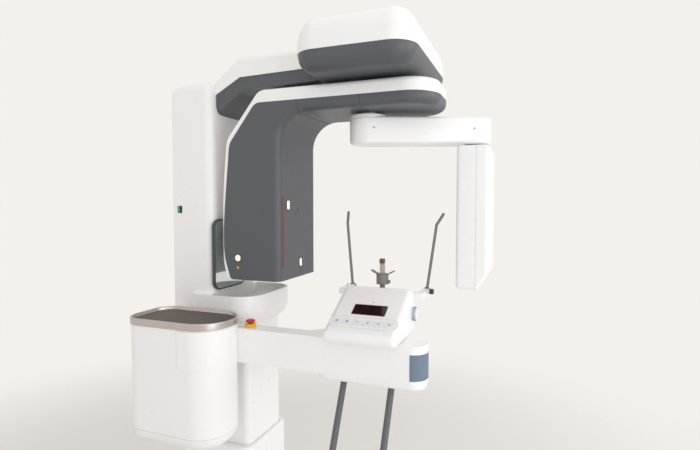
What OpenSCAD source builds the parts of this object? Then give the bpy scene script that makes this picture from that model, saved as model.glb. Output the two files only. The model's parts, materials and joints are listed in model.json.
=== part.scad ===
// Dental cone-beam and panoramic scanner, fixed to a floor and a wall.
// Millimetres. X runs across the machine, towards the side where the patient stands.
// The front is towards -Y, the wall is at +Y, and the floor is at Z = 0.

/* [Column] */
// Width of the fixed floor sleeve
plinth_w = 300; // [290:1:340]
// Distance of the sleeve's front face ahead of the origin
plinth_front = 170; // [165:1:200]
// Distance of the sleeve's back face behind the origin
plinth_back = 150; // [145:1:165]
// Height of the sleeve
plinth_h = 526; // [420:1:560]
// Width of the sliding lower column
column_w = 244; // [230:1:250]
// Distance of the lower column's front face ahead of the origin
column_front = 153; // [140:1:156]
// Distance of the lower column's back face behind the origin
column_back = 135; // [135:1:140]
// Width of the tower cover
tower_w = 300; // [280:1:320]
// Distance of the tower's front face ahead of the origin
tower_front = 20; // [12:1:24]
// Distance of the tower's back edge behind the origin
tower_back = 160; // [155:1:165]
// Plan radius of the tower's front corners
tower_front_r = 34; // [24:1:44]
// Plan radius of the tower's back corners
tower_back_r = 8; // [6:1:16]
// Height of the tower's top at rest
tower_top = 1880; // [1860:1:1900]
// Wall of the column's covers
cover_wall = 4; // [3:0.5:5]
// Distance of the wall behind the origin
wall_y = 172; // [170:1:200]

/* [Bowl foot] */
// Width of the bowl at the tower's foot
bowl_w = 336; // [320:1:350]
// Distance of the bowl's front edge ahead of the origin
bowl_front = 200; // [190:1:210]
// Height of the bowl's rim
bowl_rim_z = 1092; // [1080:1:1105]
// Height of the bowl from its underside to its rim
bowl_h = 122; // [110:1:130]
// Plan radius of the bowl's front corners
bowl_r = 92; // [70:1:100]

/* [Head] */
// Width of the head across the machine
head_w = 566; // [520:1:590]
// Length of the head along the machine
head_d = 394; // [385:1:410]
// Distance of the head's back face ahead of the origin
head_back = 412; // [400:1:425]
// Height of the head from its underside to its top
head_h = 160; // [150:1:175]
// Height of the dark lower cover
head_split = 58; // [50:1:62]
// Gap between the rotating arm and the head
head_gap = 12; // [11:0.5:14]
// Plan radius of the head's corners
head_r = 66; // [62:1:110]
// Radius of the head's upper edge
head_edge_r = 34; // [20:1:40]
// Radius of the dark cover's lower edge
head_hull_r = 54; // [40:1:56]

/* [Rotating arm] */
// Distance of the arm's top face below the tower's top
arm_drop = 50; // [46:1:60]
// Depth of the white band along the arm's top
arm_band = 46; // [40:1:50]
// Depth of the whole arm
arm_depth = 84; // [80:1:90]
// Width of the arm and of the source housing
arm_w = 300; // [290:1:310]
// Distance of the arm's front end from the turning axis
arm_reach = 202; // [195:1:225]
// Plan radius of the arm's front corners
arm_end_r = 108; // [90:1:120]
// Height of the source housing's underside
source_bottom = 1153; // [1140:1:1200]
// Distance of the source's inner face from the turning axis
source_gap = 340; // [320:1:350]
// Depth of the source housing with its back cover
source_d = 244; // [225:1:245]
// Width of the white rim round the source's back
rim_w = 12; // [10:1:16]
// Height over which the source's back sweeps in towards its underside
foot_sweep_h = 95; // [80:1:120]
// Depth of that sweep
foot_sweep_d = 30; // [15:1:34]
// Radius between the source's inner face and the arm's underside
arm_fillet_r = 106; // [80:1:120]

/* [Sensor] */
// Distance of the sensor arm's pivot from the turning axis
swing_offset = 62; // [50:1:70]
// Length of the sensor arm between its two pivots
swing_length = 385; // [370:1:395]
// Angle of the sensor arm at rest
swing_angle = 21; // [15:1:25]
// Diameter of the sensor arm's boss
boss_d = 133; // [120:1:140]
// Diameter of the sensor arm's outer end
swing_end_d = 96; // [90:1:110]
// Depth of the sensor arm
swing_depth = 92; // [80:1:95]
// Width of the sensor housing
sensor_w = 250; // [240:1:260]
// Thickness of the sensor housing
sensor_d = 107; // [100:1:110]
// Height of the sensor housing
sensor_h = 486; // [470:1:490]

/* [Patient beam] */
// Distance of the beam's operator side from the mid-plane
beam_side = 239; // [235:1:245]
// Width of the beam's neck
neck_w = 64; // [60:1:72]
// Width of the beam's platform
platform_w = 100; // [96:1:110]
// Height of the beam's top
beam_top = 1002; // [995:1:1005]
// Depth of the beam
beam_h = 118; // [110:1:125]
// Depth of the deeper cover under the platform
under_h = 22; // [18:1:26]
// Distance of the beam's front end ahead of the origin
beam_front = 837; // [830:1:845]
// Length of the beam's platform
platform_l = 370; // [360:1:380]
// Diameter of the hand grips
grip_d = 21; // [19:1:24]
// Length of the hand grips below the beam
grip_l = 330; // [250:1:380]
// Lean of the hand grips
grip_lean = 28; // [15:1:30]
// Distance between the hand grips
grip_pitch = 160; // [140:1:170]

/* [Cabinet and tray] */
// Width of the cabinet and the tray
cabinet_w = 208; // [190:1:214]
// Length of the cabinet and the tray
cabinet_l = 358; // [330:1:362]
// Distance of the cabinet's outer side from the mid-plane
cabinet_side = 398; // [380:1:404]
// Plan radius of the cabinet's front corners
cabinet_front_r = 96; // [75:1:96]
// Plan radius of the cabinet's back corners
cabinet_back_r = 60; // [58:1:80]
// Height of the cabinet's underside
cabinet_bottom = 618; // [600:1:680]
// Height of the tray's rim
tray_top = 1047; // [1040:1:1055]
// Depth of the tray's rim
tray_rim_h = 24; // [20:1:28]

/* [Control box and chin rest] */
// Length of the control box
box_l = 240; // [235:1:250]
// Distance of the control box's lip from the mid-plane
box_lip = 300; // [290:1:305]
// Distance of the control box's back from the mid-plane
box_back = 62; // [58:1:66]
// Height of the control box's back edge
box_top = 1147; // [1140:1:1150]
// Pitch of the control buttons
button_pitch = 34; // [32:0.5:35]
// Travel of the control buttons
button_travel = 1.2; // [0.6:0.1:1.5]
// Distance of the chin rest from the mid-plane
chin_x = 30; // [26:1:34]
// Diameter of the chin rest's cup
chin_cup_d = 42; // [38:1:46]
// Length of each temple rod
temple_l = 285; // [260:1:300]
// Diameter of the temple rods
temple_d = 10; // [8:0.5:12]

/* [Lift and mast] */
// Width of the mast
mast_w = 140; // [130:1:150]
// Depth of the mast
mast_d = 60; // [50:1:62]
// Distance of the mast's top below the tower's top
mast_drop = 90; // [80:1:180]
// Travel of the lift above its rest height
lift_up = 400; // [300:1:420]
// Clearance between sliding faces
slide_gap = 0.3; // [0.2:0.05:0.4]
// Radial clearance of each shaft in its bore
shaft_gap = 0.05; // [0.02:0.01:0.08]
// Diameter of the wall bracket's holes
wall_hole_d = 9; // [7:0.5:11]
// Diameter of the floor anchor holes
floor_hole_d = 14; // [11:0.5:16]

/* [Hidden] */
arc_steps = 8;
round_fn = 96;
seat = 0.2;
cover_white = "#f3f1ee";
shell_grey = "#54555c";

// Places that several parts share
axis_in_head = 230;
axis_y = -(head_back + axis_in_head);
arm_top = tower_top - arm_drop;
head_bottom = arm_top + head_gap;
head_top = head_bottom + head_h;
head_split_z = head_bottom + head_split;
mast_top = tower_top - mast_drop;
arm_bottom = arm_top - arm_depth;
band_z = arm_top - arm_band;
arm_front_y = axis_y - arm_reach;
source_in_y = axis_y + source_gap;
source_out_y = source_in_y + source_d;
hub_r = 50;
base_t = 12;
floor_hole_x = 105;
floor_hole_y = 117;
stage_x = 30;
stage_back = 5;
stage_front = 40;
stage_play = 4;
frame_z = head_bottom + 100;
frame_t = 8;
rail = 12;
shoe_floor = 10;
shoe_h = 14;
cross_z = frame_z - rail - shoe_floor - frame_t;
long_z = cross_z - rail - shoe_floor - frame_t;
ring_h = 20;
pulley_r = 66;
pulley_t = 10;
pulley_z = long_z - ring_h - 1 - pulley_t;
motor_x = 125;
drive_r = 18;
belt_steps = 30;
mast_front = column_back - 5 - mast_d;
web_y = 22;
web_t = 12;
carriage_w = 170;
carriage_low = 660;
carriage_top = tower_top - 22;
rail_gap_y = mast_front - rail;
tube_y = web_y + web_t + 15;
tube_r = 14;
rod_r = 9;
rail_x = 50;
lift_tube_top = 640;
lift_rod_low = lift_tube_top - lift_up - 120;
lug_z = 756;
pivot_y = axis_y + swing_offset;
swing_tip = [swing_length * sin(swing_angle), pivot_y - swing_length * cos(swing_angle)];
swing_top = arm_bottom - 9;
swing_low = swing_top - swing_depth - 9;
ring_z = swing_low - 11;
sensor_top = ring_z;
swing_pin_r = 15;
turn_pin_r = 12;
arm_low_z = head_bottom + 48;
arm_up_z = frame_z + 20;
arm_foot_z = arm_low_z - 58;
arm_half = 120;
pan_foot_z = arm_foot_z - 70;
pan_low_z = head_bottom + 8;
pan_wall = 3;
shell_inset = 3;
tube_half = 55;
tube_low_z = arm_low_z - 47;
tube_top_z = tube_low_z + 25;
tube_front = axis_y + 121;
cabinet_x = -(cabinet_side - cabinet_w / 2);
cabinet_front = 197;
cabinet_y = cabinet_l / 2 - cabinet_front;
neck_x = -(beam_side - neck_w / 2);
platform_x = -(beam_side - platform_w / 2);
box_low = beam_top + seat;
stop_at = [-203, -216];
chin_low = box_top;
dial_at = [-90, 1068];
temple_x = 50;
temple_y = 140;
temple_z = 1122;
grip_x = -186;

// Outline with rounded corners: each point is [x, y, radius]
function unit(v) = v / norm(v);
function turn(d) = d > 180 ? d - 360 : (d < -180 ? d + 360 : d);
function corner(a, b, c, r) =
  let (u = unit(a - b), v = unit(c - b), half = acos(u * v) / 2, s = unit(u + v),
       m = b + s * (r / sin(half)), t = r / tan(half), p = b + u * t - m, q = b + v * t - m,
       a0 = atan2(p.y, p.x), d = turn(atan2(q.y, q.x) - a0))
  [for (i = [0:arc_steps]) m + r * [cos(a0 + d * i / arc_steps), sin(a0 + d * i / arc_steps)]];
function flat(p) = [p.x, p.y];
function soften(pts) =
  let (n = len(pts))
  [for (i = [0:n - 1]) each pts[i][2] <= 0 ? [flat(pts[i])]
    : corner(flat(pts[(i + n - 1) % n]), flat(pts[i]), flat(pts[(i + 1) % n]), pts[i][2])];

// Rounded rectangle about the origin, with true arcs
module round_rect(w, d, r) {
  square([w - 2 * r, d], center = true);
  square([w, d - 2 * r], center = true);
  for (x = [-1, 1], y = [-1, 1]) translate([x * (w / 2 - r), y * (d / 2 - r)]) circle(r, $fn = round_fn);
}

// Rounded rectangle with one radius at the front and another at the back
module front_back_rect(w, d, front_r, back_r) {
  intersection() {
    round_rect(w, d, front_r);
    translate([-w / 2, -d / 2]) square([w, d / 2]);
  }
  intersection() {
    round_rect(w, d, back_r);
    translate([-w / 2, 0]) square([w, d / 2]);
  }
}

// Plate with a rounded-rectangle plan between two heights
module plate(w, d, r, low, high) translate([0, 0, low]) linear_extrude(high - low) round_rect(w, d, r);

// Side outline in the Y-Z plane, extruded along X
module across(w) rotate([90, 0, 90]) translate([0, 0, -w / 2]) linear_extrude(w) children();

// Front outline in the X-Z plane, extruded along Y from one place to another
module along(from, to) translate([0, to, 0]) rotate([90, 0, 0]) linear_extrude(to - from) children();

// Moulded slab: the child is its edge profile, x from the inner rectangle outwards, y upwards
module moulded_slab(w, d, r, low, high) {
  for (i = [0:3]) rotate(90 * i) translate([(i % 2 == 0 ? w : d) / 2 - r, (i % 2 == 0 ? d : w) / 2 - r, 0])
    rotate_extrude(angle = 90, $fn = round_fn) children();
  for (i = [0:1]) rotate(180 * i) {
    translate([-(w / 2 - r), d / 2 - r, 0]) rotate([90, 0, 90]) linear_extrude(w - 2 * r) children();
    translate([w / 2 - r, d / 2 - r, 0]) rotate([90, 0, 0]) linear_extrude(d - 2 * r) children();
  }
  translate([-(w / 2 - r), -(d / 2 - r), low]) cube([w - 2 * r, d - 2 * r, high - low]);
}

// Edge profile with a round top or a round bottom
module crown_profile(r, low, high, edge) intersection() {
  translate([0, low]) square([r, high - low]);
  union() {
    translate([0, low]) square([r - edge, high - low]);
    translate([0, low]) square([r, high - low - edge]);
    translate([r - edge, high - edge]) circle(edge, $fn = round_fn);
  }
}
module hull_profile(r, low, high, edge) intersection() {
  translate([0, low]) square([r, high - low]);
  union() {
    translate([0, low]) square([r - edge, high - low]);
    translate([0, low + edge]) square([r, high - low - edge]);
    translate([r - edge, low + edge]) circle(edge, $fn = round_fn);
  }
}

// Cylinder between two heights
module rod(r, low, high) translate([0, 0, low]) cylinder(r = r, h = high - low, $fn = round_fn);

// Box between two corners
module block(a, b) translate(a) cube(b - a);

// Floor plate that carries the mast
module base_plate() color("#5b5d60") difference() {
  translate([0, -8, 0]) plate(plinth_w - 20, 290, 20, 0, base_t);
  for (x = [-1, 1], y = [-1, 1]) translate([x * floor_hole_x, y * floor_hole_y, 0])
    rod(floor_hole_d / 2, -1, base_t + 1);
}

// Plan of the sliding lower column, grown by a margin
module column_plan(grow) translate([0, (column_back - column_front) / 2])
  round_rect(column_w + 2 * grow, column_front + column_back + 2 * grow, 25 + grow);

// Fixed sleeve round the column's foot
module plinth_sleeve() color(cover_white) difference() {
  depth = plinth_front + plinth_back;
  r = 45;
  translate([0, (plinth_back - plinth_front) / 2, 0]) {
    moulded_slab(plinth_w, depth, r, 0, plinth_h) crown_profile(r, 0, plinth_h, 10);
  }
  translate([0, (plinth_back - plinth_front) / 2, 0])
    plate(plinth_w - 2 * cover_wall, depth - 2 * cover_wall, r - cover_wall, -1, plinth_h - 8);
  translate([0, 0, plinth_h - 10]) linear_extrude(20) column_plan(1.5);
}

// Aluminium mast with a hollow core and a slot in each side
module mast() color("#b9bcc0") difference() {
  block([-mast_w / 2, mast_front, base_t], [mast_w / 2, mast_front + mast_d, mast_top]);
  block([-mast_w / 2 + 16, mast_front + 10, 11], [mast_w / 2 - 16, mast_front + mast_d - 10, mast_top + 1]);
  for (s = [-1, 1]) translate([s * mast_w / 2, mast_front + mast_d / 2, 11])
    block([-8, -6, 0], [8, 6, mast_top]);
}

// Two guide rails on the mast's front
module mast_rails() color("#8d9094") for (x = [-rail_x, rail_x])
  block([x - rail, rail_gap_y, 120], [x + rail, mast_front, mast_top - 10]);

// Steel bracket from the mast to the wall
bracket_z = mast_top - 95;
bracket_hole_x = 80;
bracket_hole_z = 25;
module wall_bracket() color("#5b5d60") translate([0, 0, bracket_z]) difference() {
  union() {
    block([-95, wall_y - 8, -45], [95, wall_y, 45]);
    for (x = [-64, 58]) block([x, mast_front + mast_d, -35], [x + 6, wall_y - 8, 35]);
    block([-64, mast_front + mast_d, -35], [64, mast_front + mast_d + 6, 35]);
  }
  for (x = [-1, 1], z = [-1, 1]) translate([x * bracket_hole_x, wall_y + 1, z * bracket_hole_z])
    rotate([90, 0, 0]) cylinder(d = wall_hole_d, h = 20, $fn = 48);
}

// Lift actuator: tube on the base plate, and its rod in the tube
module lift_tube() color("#6a6d71") difference() {
  translate([0, tube_y, 0]) rod(tube_r, base_t, lift_tube_top);
  translate([0, tube_y, 0]) rod(rod_r + shaft_gap, lift_rod_low - 60, lift_tube_top + 1);
}
module lift_rod() color("#c6c8ca") translate([0, tube_y, 0]) rod(rod_r, lift_rod_low, lug_z);

// Guide block that grips one rail
module guide_block(x, z) difference() {
  block([x - 24, web_y + web_t, z - 45], [x + 24, mast_front - 2, z + 45]);
  block([x - rail - slide_gap, rail_gap_y - slide_gap, z - 46], [x + rail + slide_gap, mast_front, z + 46]);
}

// Lift carriage: bent plate with four guide blocks and the rod's lug
module carriage_frame() color("#77797d") {
  difference() {
    block([-carriage_w / 2, -tower_front + cover_wall + seat, carriage_low],
      [carriage_w / 2, web_y + web_t, carriage_top]);
    block([-carriage_w / 2 + 8, -tower_front, carriage_low - 1],
      [carriage_w / 2 - 8, web_y, carriage_top + 1]);
  }
  for (x = [-rail_x, rail_x], z = [720, mast_top - lift_up - 55]) guide_block(x, z);
  block([-20, web_y + web_t, lug_z], [20, tube_y + 12, lug_z + 20]);
}

// Sliding lower column cover
column_low = 76;
bowl_floor = 26;
module column_cover() color(cover_white) difference() {
  translate([0, 0, column_low]) linear_extrude(bowl_rim_z - bowl_h + bowl_floor - column_low) column_plan(0);
  translate([0, 0, column_low - 1]) linear_extrude(bowl_rim_z) column_plan(-cover_wall);
}

// Tower outline by its plan, its side and its front, grown inwards by a wall
module tower_plan(in) translate([0, (tower_back - tower_front) / 2])
  front_back_rect(tower_w - 2 * in, tower_back + tower_front - 2 * in, tower_front_r - in, tower_back_r - in);
module tower_block(wall, low) intersection() {
  translate([0, 0, low]) linear_extrude(tower_top - wall - low) tower_plan(wall);
  across(tower_w) polygon(soften([
    [-tower_front + wall, low, 0], [tower_back - wall, low, 0],
    [tower_back - wall, tower_top - 12 - wall, 48 - wall],
    [-tower_front + wall, tower_top - wall, 20 - wall]]));
  along(-tower_front, tower_back) polygon(soften([
    [-tower_w / 2 + wall, low, 0], [tower_w / 2 - wall, low, 0],
    [tower_w / 2 - wall, tower_top - wall, 34 - wall], [-tower_w / 2 + wall, tower_top - wall, 34 - wall]]));
}

// Tower cover, open at the back and at the foot, with the upper arm's opening
tower_low = bowl_rim_z - bowl_h + 40;
module tower_cover() color(cover_white) difference() {
  tower_block(0, tower_low);
  tower_block(cover_wall, tower_low - 1);
  block([-tower_w / 2 + 40, tower_back - 20, tower_low - 1],
    [tower_w / 2 - 40, tower_back + 1, tower_top - 60]);
  block([-tube_half - 2, -tower_front - 1, tube_low_z - 2],
    [tube_half + 2, -tower_front + 12, tube_top_z + 2]);
}

// Bowl-shaped cover between the lower column and the tower
module bowl_cover() color(cover_white) difference() {
  bowl_back = 112;
  bowl_d = bowl_front + bowl_back;
  low = bowl_rim_z - bowl_h;
  translate([0, bowl_back - bowl_d / 2, 0])
    moulded_slab(bowl_w, bowl_d, bowl_r, low, bowl_rim_z) hull_profile(bowl_r, low, bowl_rim_z, 66);
  intersection() {
    translate([0, bowl_back - bowl_d / 2, 0])
      moulded_slab(bowl_w - 20, bowl_d - 20, bowl_r - 10, bowl_rim_z - 44, bowl_rim_z + 20)
        hull_profile(bowl_r - 10, bowl_rim_z - 44, bowl_rim_z + 20, 40);
    block([-bowl_w, -bowl_front, low], [bowl_w, -tower_front - seat, bowl_rim_z + 30]);
  }
  translate([0, 0, tower_low]) linear_extrude(bowl_h) tower_plan(-seat);
  block([-104, -tower_front + cover_wall, low - 1], [104, tower_back, bowl_rim_z + 1]);
  translate([0, 0, low - 1]) linear_extrude(bowl_floor + 1) column_plan(seat);
}

// Mirror on the tower's front, in a dark frame
mirror_x = -52;
mirror_z = 1238;
mirror_w = 200;
mirror_h = 266;
module mirror_slab(grow, from, to) translate([mirror_x, 0, mirror_z]) along(from, to)
  round_rect(mirror_w + 2 * grow, mirror_h + 2 * grow, 34 + grow);
module mirror_frame() color("#4a4b50") difference() {
  mirror_slab(0, -tower_front - 13, -tower_front - seat);
  mirror_slab(-6, -tower_front - 14, -tower_front - 7);
}
module mirror_glass() color("#cfd6da") mirror_slab(-6 - seat, -tower_front - 12, -tower_front - 7);

// Side outline of the upper arm: its underside, bend and top
head_back_y = -head_back;
module upper_arm_side(in, low_in) polygon(soften([
  [-tower_front, arm_foot_z + low_in, 0], [-126, arm_low_z - 2 + low_in, 0],
  [head_back_y, arm_low_z + 4 + low_in, 0], [head_back_y, arm_up_z + 2 - in, 0],
  [-129, arm_up_z - 3 - in, 30], [-tower_front, arm_foot_z + 42 - in, 0]]));

// White cover of the upper arm, open underneath
module upper_arm_cover() color(cover_white) difference() {
  translate([0, -seat, 0]) intersection() {
    across(2 * arm_half) upper_arm_side(0, 0);
    along(head_back_y + 2 * seat, -tower_front) translate([-arm_half, 0]) polygon(soften([
      [0, arm_foot_z - 10, 0], [2 * arm_half, arm_foot_z - 10, 0],
      [2 * arm_half, arm_up_z + 2, 26], [0, arm_up_z + 2, 26]]));
  }
  across(2 * (arm_half - cover_wall)) upper_arm_side(cover_wall, -8);
}

// Dark pan that closes the upper arm from below, deep at the tower and cut to the head's curve
pan_bend = [-135, pan_low_z - 10];
pan_end_y = head_back_y - 40;
module pan_side() difference() {
  polygon(soften([
    [-tower_front - 2 * seat, pan_foot_z, 0], [pan_bend.x, pan_bend.y, 60], [pan_end_y, pan_low_z, 0],
    [pan_end_y, arm_low_z + 10, 0], [-126, arm_low_z + 4, 0], [-tower_front - 2 * seat, arm_foot_z + 6, 0]]));
  translate([head_back_y - shell_inset - head_hull_r, head_bottom + head_hull_r])
    circle(head_hull_r + 3 * seat, $fn = round_fn);
  translate([pan_end_y - 1, head_bottom + head_hull_r]) square([41 + 2 * seat, 60]);
}
module pan_front(half, r, in) {
  translate([-half, pan_foot_z + r]) square([2 * half, arm_low_z]);
  translate([-half + r, pan_foot_z]) square([2 * (half - r), arm_low_z]);
  for (s = [-1, 1]) translate([s * (half - r), pan_foot_z + r]) circle(r - in, $fn = round_fn);
}
module upper_arm_underside() color(shell_grey) difference() {
  half = arm_half - cover_wall - seat;
  foot_r = 32;
  intersection() {
    across(2 * half) pan_side();
    along(pan_end_y - 1, -tower_front) pan_front(half, foot_r, 0);
  }
  intersection() {
    across(2 * (half - pan_wall)) polygon([
      [-tower_front, pan_foot_z + pan_wall], [pan_bend.x, pan_bend.y + pan_wall],
      [pan_end_y - 1, pan_low_z + pan_wall],
      [pan_end_y - 1, arm_low_z + 40], [-tower_front, arm_low_z + 40]]);
    along(pan_end_y - 2, -tower_front + 1) pan_front(half, foot_r, pan_wall);
  }
}

// Steel tube inside the upper arm, from the carriage into the head
module tube_side(in) polygon([
  [web_y, tube_low_z + in], [-tower_front - 1 - in, tube_low_z + in], [-129 - in / 2, arm_low_z + 9 + in],
  [tube_front, arm_low_z + 16 + in], [tube_front, frame_z - in], [-128 - in / 2, frame_z - in],
  [-tower_front + 1 - in, tube_top_z - in], [web_y, tube_top_z - in]]);
module upper_arm_tube() color("#77797d") difference() {
  across(2 * tube_half) tube_side(0);
  across(2 * (tube_half - 5)) tube_side(5);
}

// Plan of the head, grown inwards
head_y = -(head_back + head_d / 2);
module head_plan(in) translate([0, head_y]) round_rect(head_w - 2 * in, head_d - 2 * in, head_r - in);

// Steel frame in the head, with the two cross rails under it
module head_frame() color("#77797d") {
  translate([0, 0, frame_z]) linear_extrude(frame_t) head_plan(16);
  for (y = [-90, 90]) translate([0, axis_y + y, 0])
    block([-150, -rail / 2, frame_z - rail], [150, rail / 2, frame_z]);
}

// Opening in the head's back wall for the steel tube
module tube_passage() block([-tube_half - 2, head_back_y - 60, arm_low_z + 8],
  [tube_half + 2, head_back_y + 1, frame_z + 2]);

// White top cover of the head, with four posts that the frame hangs from
module head_top_cover() color(cover_white) {
  difference() {
    translate([0, head_y, 0]) moulded_slab(head_w, head_d, head_r, head_split_z, head_top)
      crown_profile(head_r, head_split_z, head_top, head_edge_r);
    translate([0, head_y, 0])
      moulded_slab(head_w - 2 * cover_wall, head_d - 2 * cover_wall, head_r - cover_wall,
        head_split_z - 1, head_top - cover_wall)
      crown_profile(head_r - cover_wall, head_split_z - 1, head_top - cover_wall, head_edge_r - cover_wall);
    tube_passage();
  }
  for (x = [-150, 150], y = [-110, 110]) translate([x, head_y + y, 0])
    rod(9, frame_z + frame_t, head_top - cover_wall);
}

// Dark lower cover of the head, with the opening that the hub travels in
module head_lower_cover() color(shell_grey) difference() {
  in = shell_inset;
  r = head_r - in;
  translate([0, head_y, 0]) {
    moulded_slab(head_w - 2 * in, head_d - 2 * in, r, head_bottom, head_split_z)
      hull_profile(r, head_bottom, head_split_z, head_hull_r);
  }
  translate([0, head_y, 0]) moulded_slab(head_w - 2 * in - 2 * cover_wall, head_d - 2 * in - 2 * cover_wall,
    r - cover_wall, head_bottom + cover_wall, head_split_z + 1)
    hull_profile(r - cover_wall, head_bottom + cover_wall, head_split_z + 1, head_hull_r - cover_wall);
  block([-hub_r - stage_x - stage_play, axis_y - hub_r - stage_front - stage_play, head_bottom - 1],
    [hub_r + stage_x + stage_play, axis_y + hub_r + stage_back + stage_play, head_bottom + cover_wall + 1]);
  tube_passage();
}

// Slide block under a rail that runs along X or Y
module rail_shoe(length, low, high, along_y) rotate(along_y ? 90 : 0) difference() {
  block([-length / 2, -16, low], [length / 2, 16, high]);
  block([-length / 2 - 1, -rail / 2 - slide_gap, low + shoe_floor - slide_gap],
    [length / 2 + 1, rail / 2 + slide_gap, high + 1]);
}

// Cross stage: plate with its four shoes and the long rails under it
module cross_stage() color("#9a9da1") {
  translate([0, axis_y, 0]) {
    block([-90, -112, cross_z], [90, 112, cross_z + frame_t]);
    for (x = [-62, 62], y = [-90, 90]) translate([x, y, 0])
      rail_shoe(44, cross_z + frame_t, cross_z + frame_t + shoe_h, false);
    for (x = [-70, 70]) block([x - rail / 2, -112, cross_z - rail], [x + rail / 2, 112, cross_z]);
  }
}

// Long stage: plate with its four shoes and the bearing ring that carries the hub
module long_stage() color("#9a9da1") translate([0, axis_y, 0]) {
  difference() {
    union() {
      block([-95, -84, long_z], [158, 84, long_z + frame_t]);
      rod(hub_r + 20, long_z - ring_h, long_z);
    }
    rod(hub_r + shaft_gap, long_z - ring_h - 1, long_z + frame_t + 1);
    translate([motor_x, 0, 0]) rod(4 + shaft_gap, long_z - 1, long_z + frame_t + 1);
  }
  for (x = [-70, 70], y = [-38, 30]) translate([x, y, 0])
    rail_shoe(28, long_z + frame_t, long_z + frame_t + shoe_h, true);
}

// Motor on the long stage, with a blind bore for the pulley's shaft
module drive_motor() color("#3a3b3f") translate([motor_x, axis_y, 0]) difference() {
  union() {
    rod(25, long_z + frame_t, long_z + frame_t + 34);
    rod(20, long_z + frame_t + 34, long_z + frame_t + 40);
  }
  rod(4 + shaft_gap, long_z + frame_t - 1, long_z + frame_t + 14);
}

// Small pulley on the motor's shaft
module drive_pulley() color("#c6c8ca") translate([motor_x, axis_y, 0]) {
  rod(drive_r, pulley_z, pulley_z + pulley_t);
  rod(4, pulley_z + pulley_t, long_z + frame_t + 13);
}

// Loop round both pulleys, grown by a margin: its tangent points follow from the two radii
module belt_loop(grow) {
  a = pulley_r + grow;
  b = drive_r + grow;
  lean = acos((a - b) / motor_x);
  polygon(concat(
    [for (i = [0:belt_steps]) let (t = lean + i * (360 - 2 * lean) / belt_steps) a * [cos(t), sin(t)]],
    [for (i = [0:belt_steps]) let (t = -lean + i * 2 * lean / belt_steps)
      [motor_x, 0] + b * [cos(t), sin(t)]]));
}
module drive_belt() color("#222326") translate([0, axis_y, pulley_z + 1]) linear_extrude(pulley_t - 2)
  difference() {
    belt_loop(slide_gap + 2);
    belt_loop(slide_gap);
  }

// Hub of the rotating arm: foot, big pulley, journal and upper flange
module rotor_hub() color("#a9acb0") translate([0, axis_y, 0]) {
  rod(hub_r, arm_top + seat, long_z + frame_t + slide_gap);
  rod(pulley_r, pulley_z, pulley_z + pulley_t);
  rod(hub_r + 4, long_z + frame_t + slide_gap, long_z + frame_t + slide_gap + 5);
}

// Pin that the sensor arm swings on, with its thrust collar
module swing_pin() color("#a9acb0") translate([0, pivot_y, 0]) {
  rod(swing_pin_r, swing_low + 24, arm_bottom + 25);
  rod(38, swing_top + slide_gap, arm_bottom - seat);
}

// Side outline of the dark shell: its inner side moved back by one margin, the rest moved out by another
module shell_side(back, out) polygon(soften([
  [source_in_y + back, source_bottom - out, 0],
  [source_out_y - rim_w - foot_sweep_d + out, source_bottom - out, 14],
  [source_out_y - rim_w + out, source_bottom + foot_sweep_h, 300],
  [source_out_y - rim_w + out, 1340, 300], [source_out_y - rim_w - 29 + out, 1645, 60],
  [source_out_y - 150 + out, band_z + out, 40],
  [source_in_y - arm_fillet_r - fillet_run - 4, band_z + out, 0],
  [source_in_y - arm_fillet_r - fillet_run - 4, arm_bottom + back, 0],
  [source_in_y + back, arm_bottom + back, arm_fillet_r + back]]));

// Plan of the source and the arm, with round corners at the back
module arm_plan() polygon(soften([
  [-arm_w / 2, source_out_y, 24], [-arm_w / 2, arm_front_y, 0], [arm_w / 2, arm_front_y, 0],
  [arm_w / 2, source_out_y, 24]]));

// Section of the shell's inner side: a strip with two round corners, face at zero
module soft_strip(depth, r) intersection() {
  translate([-arm_w / 2, 0]) square([arm_w, depth]);
  union() {
    translate([-arm_w / 2 + r, 0]) square([arm_w - 2 * r, depth]);
    translate([-arm_w / 2, r]) square([arm_w, depth - r]);
    for (s = [-1, 1]) translate([s * (arm_w / 2 - r), r]) circle(r, $fn = round_fn);
  }
}

// Windows, laser ports and lamps of the source: on its inner face and on its side
soft_r = 26;
fillet_run = 30;
module inner_port(x, z, w, h, r, grow, depth) translate([x, source_in_y + depth, z]) rotate([90, 0, 0])
  linear_extrude(depth + (grow > 0 ? 1 : 0)) round_rect(w + 2 * grow, h + 2 * grow, r + grow);
module ports(grow, depth) {
  inner_port(-119, 1328, 7, 246, 3, grow, depth);
  inner_port(-82, 1424, 15, 26, 4, grow, depth);
  inner_port(14, 1205, 15, 26, 4, grow, depth);
  inner_port(-4, 1402, 8, 8, 3.5, grow, depth);
  inner_port(14, 1176, 7, 10, 3, grow, depth);
  for (p = [[-131, 1232, 12], [-131, 1197, 5]]) translate([-arm_w / 2 - (grow > 0 ? 1 : 0), p[0], p[1]])
    rotate([0, 90, 0]) cylinder(r = p[2] + grow, h = depth + (grow > 0 ? 1 : 0), $fn = 48);
}

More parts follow.
